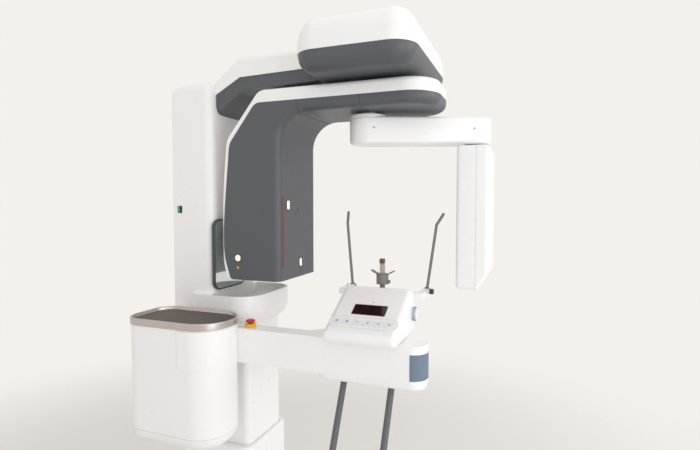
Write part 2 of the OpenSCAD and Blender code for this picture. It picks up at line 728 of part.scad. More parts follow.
// Dark shell: source housing, fillet and the arm's underside in one swept form
module source_shell() color(shell_grey) difference() {
  union() {
    intersection() {
      across(arm_w) shell_side(soft_r, 0);
      translate([0, 0, source_bottom]) linear_extrude(arm_top) arm_plan();
    }
    translate([0, source_in_y, source_bottom]) linear_extrude(arm_bottom - arm_fillet_r - source_bottom)
      soft_strip(soft_r + 1, soft_r);
    translate([0, source_in_y - arm_fillet_r, arm_bottom - arm_fillet_r]) rotate([90, 0, 90])
      rotate_extrude(angle = 90, $fn = 2 * round_fn)
        translate([arm_fillet_r, 0]) rotate(-90) soft_strip(soft_r + 1, soft_r);
    translate([0, source_in_y - arm_fillet_r, arm_bottom]) rotate([90, 0, 0])
      linear_extrude(fillet_run) soft_strip(soft_r + 1, soft_r);
    intersection() {
      translate([0, (arm_front_y + source_in_y) / 2, 0])
        moulded_slab(arm_w, source_in_y - arm_front_y, arm_end_r, arm_bottom, band_z)
          hull_profile(arm_end_r, arm_bottom, band_z, soft_r);
      block([-arm_w, arm_front_y - 1, arm_bottom - 1],
        [arm_w, source_in_y - arm_fillet_r - fillet_run, band_z + 1]);
    }
  }
  block([-arm_w / 2 + 16, source_in_y + 7, source_bottom + 6],
    [arm_w / 2 - 16, source_out_y - rim_w - 40, band_z - 184]);
  ports(seat, 2.6);
  translate([0, pivot_y, 0]) rod(swing_pin_r + seat, arm_bottom - 1, arm_bottom + 26);
}

// Front view of a block with two round top edges
crown_edge = 16;
module crowned(w, low, high, edge) intersection() {
  translate([-w / 2, low]) square([w, high - low]);
  union() {
    translate([-w / 2, low]) square([w, high - low - edge]);
    translate([-w / 2 + edge, low]) square([w - 2 * edge, high - low]);
    for (s = [-1, 1]) translate([s * (w / 2 - edge), high - edge]) circle(edge, $fn = round_fn);
  }
}

// White cover along the arm's top and down the source's back
module arm_top_cover() color(cover_white) difference() {
  union() {
    intersection() {
      translate([0, (arm_front_y + source_out_y) / 2, 0])
        moulded_slab(arm_w, source_out_y - arm_front_y, arm_end_r, band_z + seat, arm_top)
          crown_profile(arm_end_r, band_z + seat, arm_top, crown_edge);
      block([-arm_w, arm_front_y - 1, band_z], [arm_w, source_in_y, arm_top + 1]);
    }
    intersection() {
      across(arm_w) difference() {
        polygon(soften([
          [source_out_y - foot_sweep_d, source_bottom + 4, 8],
          [source_out_y, source_bottom + foot_sweep_h, 300],
          [source_out_y, 1340, 300], [source_out_y - 31, 1659, 70],
          [source_out_y - 170, arm_top, 60], [source_in_y, arm_top, 0], [source_in_y, band_z + seat, 0],
          [source_in_y + 40, band_z + seat, 0], [source_in_y + 40, source_bottom + 4, 0]]));
        shell_side(-seat, seat);
        translate([source_in_y - 1, source_bottom - 9]) square([60, band_z + seat - source_bottom + 9]);
      }
      translate([0, 0, source_bottom]) linear_extrude(arm_top) arm_plan();
      along(source_in_y, source_out_y + 1) crowned(arm_w, source_bottom, arm_top, crown_edge);
    }
  }
}

// X-ray tube housing with its beam snout, on the floor of the source housing
module xray_tube() color("#b4b7ba") {
  z = source_bottom + 6 + seat + 56;
  y = source_in_y + 96;
  translate([-105, y, z]) rotate([0, 90, 0]) cylinder(r = 56, h = 210, $fn = round_fn);
  block([-30, source_in_y + 7 + seat, z - 40], [30, y - 40, z + 60]);
}
module source_windows() color("#e8eef0") ports(0, 2.2);

// Rounded disc of the sensor arm, and the pins that it turns on
module arm_disc(at, r, low, high) translate(at) rotate_extrude($fn = 40)
  polygon(concat([[0, low]], [for (i = [0:4]) [r - 12 + 12 * sin(22.5 * i), low + 12 - 12 * cos(22.5 * i)]],
    [for (i = [0:4]) [r - 9 + 9 * cos(22.5 * i), high - 9 + 9 * sin(22.5 * i)]], [[0, high]]));
module sensor_arm() color(cover_white) difference() {
  union() {
    hull() {
      arm_disc([0, pivot_y, 0], boss_d / 2, swing_low, swing_top - 9);
      arm_disc([swing_tip.x, swing_tip.y, 0], swing_end_d / 2, swing_low, swing_top - 9);
    }
    translate([0, pivot_y, 0]) rod(boss_d / 2 - 1, swing_top - 30, swing_top);
  }
  translate([0, pivot_y, 0]) rod(swing_pin_r + shaft_gap, swing_low + 20, swing_top + 1);
}
// Blue-grey ring under the sensor arm, with the pin that the sensor turns on
module gap_ring() color("#8796a5") translate([swing_tip.x, swing_tip.y, 0]) {
  rod(40, ring_z, swing_low - seat);
  rod(turn_pin_r, ring_z - 56, ring_z + 1);
}

// Sensor housing: a tall rounded case with a softened lower back edge
module sensor_form(in) {
  r = 13;
  x = sensor_w / 2 - r - in;
  y = sensor_d / 2 - r - in;
  low = sensor_top - sensor_h + r + in;
  high = sensor_top - slide_gap - r - in;
  hull() for (s = [-1, 1]) {
    for (p = [[y, low], [y, high], [-y, high], [-y, low + 46], [-y + 30, low]])
      translate([s * x, p[0], p[1]]) sphere(r, $fn = 24);
  }
}
module sensor_housing() color(cover_white) translate([swing_tip.x, swing_tip.y, 0]) difference() {
  sensor_form(0);
  rod(turn_pin_r + shaft_gap, ring_z - 60, ring_z + 1);
  block([-sensor_w / 2 + 14, -sensor_d / 2 + 14, sensor_top - sensor_h + 50],
        [sensor_w / 2 - 14, sensor_d / 2 - 6, ring_z - 80]);
}
module detector_panel() color("#2b2c30") translate([swing_tip.x, swing_tip.y, 0])
  block([-sensor_w / 2 + 22, sensor_d / 2 - 24, sensor_top - sensor_h + 50 + seat],
        [sensor_w / 2 - 22, sensor_d / 2 - 6 - seat, ring_z - 100]);

// Plan of the patient beam: a slim neck and a wider platform with a round end
platform_back = -(beam_front - platform_l);
module platform_plan(grow) translate([platform_x, 0]) {
  translate([0, -beam_front + platform_w / 2]) circle(platform_w / 2 + grow, $fn = round_fn);
  translate([-platform_w / 2 - grow, -beam_front + platform_w / 2])
    square([platform_w + 2 * grow, platform_l - platform_w / 2 + grow]);
}
module neck_plan(grow) translate([neck_x - neck_w / 2 - grow, platform_back - 10])
  square([neck_w + 2 * grow, -platform_back - 100 + 10 + grow]);
module end_zone() block([-beam_side - 20, -beam_front - 20, beam_top - beam_h + 12],
  [platform_x + platform_w, -beam_front + 46, beam_top - 26]);
module beam_cover() color(cover_white) difference() {
  union() {
    translate([0, 0, beam_top - beam_h]) linear_extrude(beam_h) {
      platform_plan(0);
      neck_plan(0);
      polygon([[neck_x + neck_w / 2 - 1, platform_back + 40], [platform_x + platform_w / 2, platform_back],
        [neck_x, platform_back - 1]]);
    }
    block([neck_x + neck_w / 2 - 1, -150, beam_top - 104], [-column_w / 2 - seat, -62, beam_top - 44]);
  }
  intersection() {
    end_zone();
    difference() {
      translate([0, 0, beam_top - beam_h]) linear_extrude(beam_h) platform_plan(5);
      translate([0, 0, beam_top - beam_h - 1]) linear_extrude(beam_h + 2) platform_plan(-3);
    }
  }
}
module beam_end_inset() color("#6f8090") intersection() {
  block([-beam_side - 20, -beam_front - 20, beam_top - beam_h + 12 + seat],
    [platform_x + platform_w, -beam_front + 46 - seat, beam_top - 26 - seat]);
  translate([0, 0, beam_top - beam_h]) linear_extrude(beam_h) difference() {
    platform_plan(0.6);
    platform_plan(-3 + seat);
  }
}
module beam_under_cover() color(cover_white)
  translate([platform_x, -beam_front + 3 + (platform_l - 8) / 2, 0])
  moulded_slab(platform_w - 6, platform_l - 8, platform_w / 2 - 5, beam_top - beam_h - under_h,
    beam_top - beam_h - seat)
    hull_profile(platform_w / 2 - 5, beam_top - beam_h - under_h, beam_top - beam_h - seat, 14);

// Two hand grips that hang under the platform, each with its flange
grip_z = beam_top - beam_h - under_h - seat;
module hand_grips() color("#4b4c52") for (s = [-1, 1])
  translate([grip_x, axis_y + s * grip_pitch / 2, grip_z]) {
  difference() {
    rotate([0, 180 + grip_lean, 0]) translate([0, 0, -20]) {
      cylinder(d = grip_d, h = grip_l + 20 - grip_d / 2, $fn = 48);
      translate([0, 0, grip_l + 20 - grip_d / 2]) sphere(d = grip_d, $fn = 48);
    }
    translate([-50, -50, 0]) cube(100);
  }
  translate([0, 0, -5]) cylinder(r = 19, h = 5, $fn = 48);
}

// Cabinet with its bracket to the column, and the seat of the beam's neck
module cabinet_plan(grow) translate([cabinet_x, cabinet_y])
  front_back_rect(cabinet_w + 2 * grow, cabinet_l + 2 * grow, cabinet_front_r + grow, cabinet_back_r + grow);
cabinet_edge_r = 56;
module cabinet_half(r, from, to) intersection() {
  moulded_slab(cabinet_w, cabinet_l, r, cabinet_bottom, tray_top - tray_rim_h)
    hull_profile(r, cabinet_bottom, tray_top - tray_rim_h, cabinet_edge_r);
  block([-cabinet_w, from, 0], [cabinet_w, to, tray_top]);
}
module cabinet() color(cover_white) difference() {
  union() {
    translate([cabinet_x, cabinet_y, 0]) {
      cabinet_half(cabinet_front_r, -cabinet_l, 0);
      cabinet_half(cabinet_back_r, 0, cabinet_l);
    }
    block([cabinet_x + cabinet_w / 2 - 3, -40, 760], [-column_w / 2 - seat, 60, 940]);
  }
  translate([0, 0, beam_top - beam_h - seat]) linear_extrude(beam_h + 2 * seat) neck_plan(seat);
}
module wrap_panel() color(cover_white) difference() {
  intersection() {
    translate([0, 0, beam_top - beam_h + 10])
      linear_extrude(tray_top - tray_rim_h - 4 - beam_top + beam_h - 10)
      difference() {
        cabinet_plan(3);
        cabinet_plan(seat);
      }
    block([-cabinet_side - 10, cabinet_y - cabinet_l / 2 - 5, 800], [cabinet_x + 60, -66, 1100]);
  }
  translate([0, 0, 700]) linear_extrude(400) neck_plan(seat);
}

// Steel tray on the cabinet, and the mat that lies in it
module tray() color("#c3c4c6") difference() {
  translate([0, 0, tray_top - tray_rim_h + seat]) linear_extrude(tray_rim_h - seat) cabinet_plan(3);
  translate([0, 0, tray_top - 13]) linear_extrude(20) cabinet_plan(-6);
}
module tray_mat() color("#1d1d1f") translate([0, 0, tray_top - 13 + seat]) linear_extrude(2) cabinet_plan(-8);

// Emergency stop: housing on the beam, and its mushroom button
module stop_base() color("#e5b51e") translate([stop_at.x, stop_at.y, beam_top]) difference() {
  rod(20, 0, 11);
  rod(6 + shaft_gap, 1, 12);
}
module stop_button() color("#c8281e") translate([stop_at.x, stop_at.y, beam_top]) {
  rod(6, 6, 17);
  rotate_extrude($fn = 64) polygon([[0, 16], [13, 16], [15.5, 18], [15.5, 22], [13, 25], [0, 27]]);
}

// Control box: its rounded wedge and the frame of its sloping face
edge_r = 21;
box_y = axis_y - 4;
lip_c = [-(box_lip - edge_r), box_low + edge_r];
back_c = [-(box_back + 30), box_top - edge_r];
panel_angle = atan2(back_c.y - lip_c.y, back_c.x - lip_c.x);
panel_mid = (lip_c + back_c) / 2 + edge_r * [-sin(panel_angle), cos(panel_angle)];
module on_panel() translate([panel_mid.x, box_y, panel_mid.y]) rotate([0, -panel_angle, 0]) children();
button_row = -62;
module button_slot(i, w, d, r, low, high) translate([button_row, (i - 3.5) * button_pitch, low])
  linear_extrude(high - low) round_rect(w, d, r);
module control_box() color(cover_white) difference() {
  hull() for (s = [-1, 1], p = [lip_c, back_c, [-(box_back + edge_r), box_low + edge_r], back_c + [9, -1]])
    translate([p.x, box_y + s * (box_l / 2 - edge_r), p.y]) sphere(edge_r, $fn = 32);
  on_panel() {
    translate([button_row, 0, -3]) linear_extrude(10) round_rect(54 + 2 * seat, 224 + 2 * seat, 26);
    for (i = [1:6]) button_slot(i, 27, 29, 6, -9, 1);
    translate([-1, -5, -2.5]) linear_extrude(10) round_rect(46 + 2 * seat, 108 + 2 * seat, 3);
  }
  translate([dial_at.x, box_y - box_l / 2 - 1, dial_at.y]) rotate([-90, 0, 0])
    cylinder(r = 5 + shaft_gap, h = 24, $fn = 48);
}
module button_plate() color("#f7f6f4") on_panel() difference() {
  translate([button_row, 0, -3 + seat]) linear_extrude(3.6) round_rect(54, 224, 26 - seat);
  for (i = [1:6]) button_slot(i, 26, 28, 5, -9, 9);
}
module display_window() color("#17080a") on_panel()
  translate([-1, -5, -2.5 + seat]) linear_extrude(2.6) round_rect(46, 108, 3 - seat);
module control_button(i) color("#eceef1") on_panel()
  button_slot(i, 26 - 2 * slide_gap, 28 - 2 * slide_gap, 5, -6, 2.4);

// Bracket behind the box that carries both temple rods
module temple_bracket() color(cover_white) difference() {
  union() {
    block([-box_back + seat, axis_y - temple_y - 11, temple_z - 11],
      [-box_back + 22, axis_y + temple_y + 11, temple_z + 9]);
    for (s = [-1, 1]) block([-box_back + 20, axis_y + s * temple_y - 11, temple_z - 11],
      [temple_x - 13.6, axis_y + s * temple_y + 11, temple_z + 9]);
  }
  for (s = [-1, 1]) translate([0, axis_y + s * temple_y, temple_z]) rotate([0, 90, 0])
    cylinder(r = 4 + shaft_gap, h = temple_x, $fn = 48);
  translate([0, 0, temple_z - 20]) linear_extrude(40) socket_plan(2 * seat);
}
module temple_dial() color("#dfe4ea")
  translate([dial_at.x, box_y - box_l / 2, dial_at.y]) rotate([90, 0, 0]) {
  translate([0, 0, slide_gap]) cylinder(r = 22, h = 13, $fn = round_fn);
  translate([0, 0, -20]) cylinder(r = 5, h = 21, $fn = 48);
}

// Temple rod: ball with its pivot pin, a leaning shank and a bent tip
module temple_rod(side, lean, tip) translate([temple_x, axis_y + side * temple_y, temple_z]) {
  sphere(13, $fn = 48);
  rotate([0, -90, 0]) cylinder(r = 4, h = 34, $fn = 48);
  rotate([-side * lean, 0, 0]) {
    cylinder(d = temple_d, h = temple_l - 50, $fn = 32);
    translate([0, 0, temple_l - 50]) {
      sphere(d = temple_d, $fn = 32);
      rotate(tip) {
        cylinder(d = temple_d, h = 44, $fn = 32);
        translate([0, 0, 44]) sphere(d = temple_d, $fn = 32);
      }
    }
  }
}
module temple_rod_left() color("#55565b") temple_rod(1, 5, [0, 24, 0]);
module temple_rod_right() color("#55565b") temple_rod(-1, 8, [24, 0, 0]);

// Chin rest: socket behind the box, post with cup and ears, and the bite block
module socket_plan(grow) translate([-chin_x, axis_y]) {
  circle(30 + grow, $fn = round_fn);
  translate([chin_x - box_back + seat, -30 - grow]) square([box_back - chin_x - seat, 60 + 2 * grow]);
}
module chin_socket() color(cover_white) difference() {
  translate([0, 0, box_low + 30]) linear_extrude(chin_low - edge_r - box_low - 30) socket_plan(0);
  translate([-chin_x, axis_y, 0]) rod(9 + shaft_gap, chin_low - edge_r - 84, chin_low);
}
cup_low = chin_low + 3;
module ear(side) translate([6, side * 17, cup_low + 33]) rotate([side * -62, 0, 0]) {
  linear_extrude(27) round_rect(17, 5, 2.4);
}
module chin_post() color("#54555a") translate([-chin_x, axis_y, 0]) difference() {
  union() {
    rod(9, chin_low - edge_r - 72, cup_low);
    rod(chin_cup_d / 2, cup_low, cup_low + 32);
    rod(chin_cup_d / 2 - 4, cup_low + 32, cup_low + 37);
    for (s = [-1, 1]) ear(s);
    translate([-4, -18, cup_low + 9]) rotate([90, 0, 0]) cylinder(r = 6, h = 11, $fn = 32);
  }
  block([-6, -8.2, cup_low + 14], [6, 8.2, cup_low + 40]);
}
module bite_block() color("#b9aaa3") translate([-chin_x, axis_y, 0]) {
  block([-5.8, -8, cup_low + 14.2], [5.8, 8, cup_low + 60]);
  translate([0, 0, cup_low + 60]) rotate([0, -90, 90]) translate([0, 0, -8]) linear_extrude(16)
    polygon(soften([[0, -6, 0], [26, -4, 4], [28, 10, 3], [22, 10, 3], [20, 3, 3], [0, 6, 0]]));
}

// One line for each node
base_plate();
plinth_sleeve();
mast();
mast_rails();
wall_bracket();
lift_tube();
lift_rod();
carriage_frame();
column_cover();
tower_cover();
bowl_cover();
mirror_frame();
mirror_glass();
upper_arm_tube();
upper_arm_cover();
upper_arm_underside();
head_frame();
head_top_cover();
head_lower_cover();
cross_stage();
long_stage();
drive_motor();
drive_belt();
drive_pulley();
rotor_hub();
swing_pin();
arm_top_cover();
source_shell();
xray_tube();
source_windows();
sensor_arm();
gap_ring();
sensor_housing();
detector_panel();
beam_cover();
beam_under_cover();
beam_end_inset();
cabinet();
wrap_panel();
tray();
tray_mat();
stop_base();
stop_button();
hand_grips();
control_box();
button_plate();
display_window();
control_button(1);  // control_button_1
control_button(2);  // control_button_2
control_button(3);  // control_button_3
control_button(4);  // control_button_4
control_button(5);  // control_button_5
control_button(6);  // control_button_6
temple_bracket();
temple_dial();
temple_rod_left();
temple_rod_right();
chin_socket();
chin_post();
bite_block();
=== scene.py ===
import json
import math

import bmesh
import bpy
from bpy.props import FloatProperty, IntProperty, PointerProperty, StringProperty
from mathutils import Matrix, Vector


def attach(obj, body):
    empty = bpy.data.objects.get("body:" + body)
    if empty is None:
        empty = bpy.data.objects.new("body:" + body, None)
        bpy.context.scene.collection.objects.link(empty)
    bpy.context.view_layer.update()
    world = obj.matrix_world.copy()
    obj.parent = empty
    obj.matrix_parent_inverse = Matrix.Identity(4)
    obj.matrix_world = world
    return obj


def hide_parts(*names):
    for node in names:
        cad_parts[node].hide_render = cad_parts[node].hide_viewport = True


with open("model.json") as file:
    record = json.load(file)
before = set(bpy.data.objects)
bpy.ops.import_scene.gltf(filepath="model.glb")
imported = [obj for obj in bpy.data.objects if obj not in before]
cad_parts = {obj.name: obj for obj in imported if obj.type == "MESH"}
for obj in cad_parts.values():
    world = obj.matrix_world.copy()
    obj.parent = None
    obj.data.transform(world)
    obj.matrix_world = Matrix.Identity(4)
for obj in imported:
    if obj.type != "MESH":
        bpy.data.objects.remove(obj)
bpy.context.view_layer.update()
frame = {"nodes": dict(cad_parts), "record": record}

bl_info = {
    "name": "Dental scanner dressing",
    "version": (1, 0, 0),
    "blender": (4, 5, 0),
    "location": "View3D > Sidebar > Scanner",
    "description": "Finishes, moulded covers and small fittings over the packed scanner",
    "category": "Object",
}

MM = 0.001
BODIES = frame["record"]["behaviour"]["bodies"]

# The camera, solved from the picture's perspective: its width and focal length in pixels, angles in degrees
PHOTO_WIDTH = 700
FOCAL_PIXELS = 480
CAMERA_AT = (-1.625, -1.130, 1.430)
CAMERA_DOWN = 2.575
CAMERA_TURN = 20.9 - 90

# Places in millimetres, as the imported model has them
SWING_PIVOT = (0.0, -580.0)
SENSOR_AT = (137.97, -939.43)
PANEL_TURN = math.radians(28.799)
PANEL = Matrix.Translation((-0.1956, -0.646, 1.0930)) @ Matrix.Rotation(-PANEL_TURN, 4, "Y")
BOX_Y = -646.0
KEYS_X = -62
KEY_PITCH = 34
DISPLAY_AT = (-1, -5)
DIAL_X, DIAL_Z = -0.090, 1.068
SOURCE_FACE_Y = -302.0
SOURCE_SIDE_X = -150.0
TOWER_LAMP_AT = (-150, 125, 1407)
TRAY_AT = (-294, -18)
HEAD_Y = -609
HEAD_JOINT_Z = 1900

# Sizes in millimetres
WALL = 4
HEAD_WIDTH, HEAD_DEPTH, HEAD_CORNER = 566, 394, 80
ARM_HALF_WIDTH, ARM_EDGE = 120, 26
LINK_RADIUS, LINK_END_RADIUS = 66.5, 48
SWING_BORE, SENSOR_BORE, DIAL_BORE = 15.05, 12.05, 5.05
PEBBLE_PITCH, PEBBLE_DEPTH = 3.2, 0.3


# Colours and nodes

def linear(code):
    """The linear colour of an sRGB hex value."""
    parts = [int(code[i:i + 2], 16) / 255 for i in (1, 3, 5)]
    return [p / 12.92 if p <= 0.04045 else ((p + 0.055) / 1.055) ** 2.4 for p in parts] + [1.0]


def add(tree, kind, inputs=None, **settings):
    """Adds one node with its settings; inputs maps a socket to its value or to the socket that feeds it."""
    node = tree.nodes.new(kind)
    for key, value in settings.items():
        setattr(node, key, value)
    for key, value in (inputs or {}).items():
        if isinstance(value, bpy.types.NodeSocket):
            tree.links.new(value, node.inputs[key])
        else:
            node.inputs[key].default_value = value
    return node


def blank(name):
    """A material with an empty tree, its output and a coordinate node."""
    material = bpy.data.materials.new(name)
    material.use_nodes = True
    tree = material.node_tree
    tree.nodes.clear()
    place = add(tree, "ShaderNodeTexCoord").outputs["Object"]
    return material, tree, place


def surface(tree, inputs):
    """Ends a material in one principled shader."""
    shader = add(tree, "ShaderNodeBsdfPrincipled", inputs)
    add(tree, "ShaderNodeOutputMaterial", {"Surface": shader.outputs[0]})


def grain(tree, place, size_mm, detail, stretch):
    """Noise whose lumps have a size in millimetres, drawn out where a stretch is below 1."""
    turned = add(tree, "ShaderNodeMapping", {"Vector": place, "Scale": stretch}).outputs["Vector"]
    return add(tree, "ShaderNodeTexNoise", {"Vector": turned, "Scale": 1000 / size_mm,
                                            "Detail": detail}).outputs["Fac"]


def tone(tree, place, code, grain_mm, spread, stretch=(1, 1, 1)):
    """A colour that drifts by a small share round its hex value, in patches of a size in millimetres."""
    dark, light = [[min(1.0, c * share) for c in linear(code)[:3]] + [1.0]
                   for share in (1 - spread, 1 + spread)]
    inputs = {"Factor": grain(tree, place, grain_mm, 3.0, stretch), "A": dark, "B": light}
    return add(tree, "ShaderNodeMix", inputs, data_type="RGBA").outputs["Result"]


def bump(tree, place, grain_mm, depth_mm, stretch=(1, 1, 1)):
    """A normal from noise whose lumps have a size and a depth in millimetres."""
    return add(tree, "ShaderNodeBump", {"Height": grain(tree, place, grain_mm, 2.0, stretch),
                                        "Distance": depth_mm * MM, "Strength": 1.0}).outputs["Normal"]


def rough(tree, place, low, high, grain_mm, stretch=(1, 1, 1)):
    """A roughness that wanders between two values."""
    noise = grain(tree, place, grain_mm, 4.0, stretch)
    return add(tree, "ShaderNodeMapRange", {"Value": noise, "To Min": low, "To Max": high}).outputs["Result"]


# Materials, each named for the real one

def moulded_abs(finish):
    """High-gloss ABS from a polished mould: a clear top sheen with a faint orange peel."""
    material, tree, place = blank("moulded gloss ABS")
    surface(tree, {
        "Base Color": tone(tree, place, finish.cover_code, 160, 0.012),
        "Roughness": rough(tree, place, 0.24, 0.34, 45), "IOR": 1.53,
        "Coat Weight": 0.25, "Coat Roughness": 0.12,
        "Normal": bump(tree, place, 14, 0.015)})
    return material


def soft_touch_paint(finish):
    """Soft-touch lacquer on moulded covers: satin, with a very fine grit that breaks up its highlights."""
    material, tree, place = blank("soft-touch lacquer, graphite")
    surface(tree, {
        "Base Color": tone(tree, place, finish.shell_code, 90, 0.04),
        "Roughness": rough(tree, place, 0.38, 0.48, 30), "IOR": 1.5,
        # The real grit is about 0.2 mm and is drawn at 0.8 mm, so that it shows
        "Normal": bump(tree, place, 0.8, 0.02)})
    return material


def brushed_stainless(finish):
    """Stainless sheet brushed along its length: long fine scratches that draw the highlight out."""
    material, tree, place = blank("brushed stainless steel")
    along = (1, 0.012, 1)
    surface(tree, {
        "Base Color": tone(tree, place, finish.tray_code, 0.9, 0.10, along), "Metallic": 1.0,
        "Roughness": rough(tree, place, 0.22, 0.42, 0.9, along),
        "Anisotropic": 0.5, "Normal": bump(tree, place, 0.7, 0.012, along)})
    return material


def metal(name, code, low, high, grain_mm, depth_mm, stretch=(1, 1, 1)):
    """Bare or plated metal, whose grain shows in its colour, its gloss and its surface."""
    material, tree, place = blank(name)
    surface(tree, {
        "Base Color": tone(tree, place, code, grain_mm, 0.06, stretch), "Metallic": 1.0,
        "Roughness": rough(tree, place, low, high, grain_mm, stretch),
        "Normal": bump(tree, place, grain_mm, depth_mm, stretch)})
    return material


def plastic(name, code, low, high, grain_mm, depth_mm):
    """Plastic, rubber or paint with an even gloss and the fine grain of its mould or its spray."""
    material, tree, place = blank(name)
    surface(tree, {
        "Base Color": tone(tree, place, code, 40, 0.03),
        "Roughness": rough(tree, place, low, high, 20), "IOR": 1.5,
        "Normal": bump(tree, place, grain_mm, depth_mm)})
    return material


def pebbled_rubber():
    """Moulded rubber sheet with rounded pebbles, which catch small soft highlights."""
    material, tree, place = blank("pebbled nitrile rubber")
    cells = add(tree, "ShaderNodeTexVoronoi", {"Vector": place, "Scale": 1000 / PEBBLE_PITCH},
                feature="SMOOTH_F1").outputs["Distance"]
    lumps = add(tree, "ShaderNodeBump", {"Height": cells, "Distance": PEBBLE_DEPTH * MM}, invert=True)
    surface(tree, {
        "Base Color": tone(tree, place, "#5c534f", 30, 0.12), "Roughness": rough(tree, place, 0.6, 0.8, 12),
        "IOR": 1.52, "Normal": lumps.outputs["Normal"]})
    return material


def silvered_glass():
    """Mirror glass: bright and almost perfectly smooth, with a faint green cast."""
    material, tree, place = blank("silvered float glass")
    surface(tree, {
        "Base Color": tone(tree, place, "#d3dadb", 200, 0.01), "Metallic": 1.0,
        "Roughness": rough(tree, place, 0.02, 0.05, 60), "Coat Weight": 0.4})
    return material


def smoked_acrylic():
    """Smoked acrylic window: black and glossy, with a faint red glow in scattered patches."""
    material, tree, place = blank("smoked acrylic window")
    glow = add(tree, "ShaderNodeTexNoise", {"Vector": place, "Scale": 60.0, "Detail": 1.0}).outputs["Fac"]
    light = add(tree, "ShaderNodeMapRange", {"Value": glow, "From Min": 0.55, "From Max": 0.75, "To Min": 0.0,
                                             "To Max": 0.12}).outputs["Result"]
    surface(tree, {
        "Base Color": tone(tree, place, "#1c0a0c", 25, 0.3), "Roughness": rough(tree, place, 0.06, 0.12, 40),
        "IOR": 1.49, "Coat Weight": 0.5, "Emission Color": linear("#8a1420"),
        "Emission Strength": light})
    return material


def clear_port():
    """Clear polycarbonate insert over a lamp: bright, with a hard small highlight."""
    material, tree, place = blank("clear polycarbonate")
    surface(tree, {
        "Base Color": tone(tree, place, "#eef2f2", 8, 0.05), "Roughness": rough(tree, place, 0.08, 0.16, 6),
        "IOR": 1.58, "Coat Weight": 0.3, "Normal": bump(tree, place, 3, 0.02)})
    return material


def lamp_lens(name, code, strength):
    """Tinted lens with a small lamp behind it."""
    material, tree, place = blank(name)
    surface(tree, {
        "Base Color": tone(tree, place, code, 3, 0.1), "Roughness": 0.2, "IOR": 1.49,
        "Emission Color": linear(code), "Emission Strength": strength})
    return material


# By key: name, colour, lowest and highest roughness, size and depth of the grain in millimetres
PLASTICS = {
    "powder": ("powder-coated steel", "#5d5f62", 0.5, 0.62, 1.2, 0.05),
    "carriage": ("powder-coated steel, light", "#7b7d80", 0.48, 0.6, 1.2, 0.05),
    "motor": ("black stove enamel", "#303135", 0.35, 0.45, 1.5, 0.02),
    "belt": ("polyurethane belt", "#242529", 0.55, 0.7, 1.0, 0.04),
    "rim": ("moulded black nylon rim", "#43444a", 0.38, 0.48, 0.8, 0.03),
    "blue": ("silicone rubber, blue-grey", "#6c7d8c", 0.5, 0.6, 1.5, 0.04),
    "ring": ("acetal ring, blue-grey", "#8593a2", 0.35, 0.45, 1.0, 0.02),
    "detector": ("matt black shielding", "#2a2b2e", 0.5, 0.65, 1.5, 0.03),
    "yellow": ("moulded ABS, signal yellow", "#e8b41c", 0.28, 0.36, 3, 0.01),
    "red": ("moulded ABS, signal red", "#c8231b", 0.24, 0.32, 3, 0.01),
    "grip": ("soft elastomer grip", "#5c5c61", 0.34, 0.44, 0.9, 0.05),
    "key": ("moulded silicone key, pearl", "#e9ebee", 0.34, 0.42, 2, 0.02),
    "plate": ("printed polyester overlay", "#f4f3f1", 0.3, 0.38, 1.2, 0.015),
    "dial": ("moulded polycarbonate dial", "#dde3ea", 0.24, 0.32, 2, 0.015),
    "rod": ("glass-filled nylon", "#7d7976", 0.36, 0.48, 0.8, 0.03),
    "bite": ("autoclavable polypropylene", "#b9aaa2", 0.38, 0.5, 1.2, 0.03),
    "tip": ("bite sleeve, elastomer", "#5a4a45", 0.5, 0.62, 1.0, 0.04),
    "ink": ("screen-printed ink, grey", "#a3a6ab", 0.5, 0.6, 1, 0.005),
    # gap: black rocker and bezels, and painted shade in the shell's joints; seam: painted shade in white
    # covers' joints
    "gap": ("black plastic, and painted shade in the covers' joints", "#2b2b2e", 0.8, 0.9, 1.0, 0.02),
    "seam": ("moulded ABS in the shade of a joint", "#c9c5c0", 0.6, 0.7, 3, 0.01),
    "knob": ("glass-filled nylon, blue-grey", "#9aa3b4", 0.32, 0.42, 1.0, 0.02),
}
# The same for metals, with the way in which the grain is drawn out
METALS = {
    "ground": ("ground steel", "#a4a6a8", 0.22, 0.34, 0.8, 0.008, (1, 0.05, 1)),
    "anodised": ("anodised aluminium", "#bfc1c4", 0.32, 0.42, 0.9, 0.01, (1, 1, 0.02)),
    "cast": ("cast aluminium", "#b2b4b6", 0.45, 0.6, 2.5, 0.08),
    "screw": ("zinc-plated steel", "#a9abad", 0.26, 0.4, 1.2, 0.01),
}
# Name, colour and strength of the light behind it
LENSES = {
    "green": ("green lamp lens", "#28a05a", 0.5),
    "amber": ("amber lamp lens", "#d88a20", 0.35),
    "warm": ("warm white lamp lens", "#fdf6df", 0.35),
    "garnet": ("ruby acrylic filter", "#5e3a3c", 0.02),
    "glow": ("red segment light", "#6a1a24", 0.25),
}


def all_materials(finish):
    """Makes every finish once and returns it by a short key."""
    made = {
        "cover": moulded_abs(finish),
        "shell": soft_touch_paint(finish),
        "tray": brushed_stainless(finish),
        "mat": pebbled_rubber(),
        "mirror": silvered_glass(),
        "port": clear_port(),
        "window": smoked_acrylic(),
    }
    for table, make in ((PLASTICS, plastic), (METALS, metal), (LENSES, lamp_lens)):
        made.update({key: make(*row) for key, row in table.items()})
    return made


def by_name(table):
    """The table turned round: each name in its rows against the row's key."""
    return {name: key for key, names in table.items() for name in names.split()}


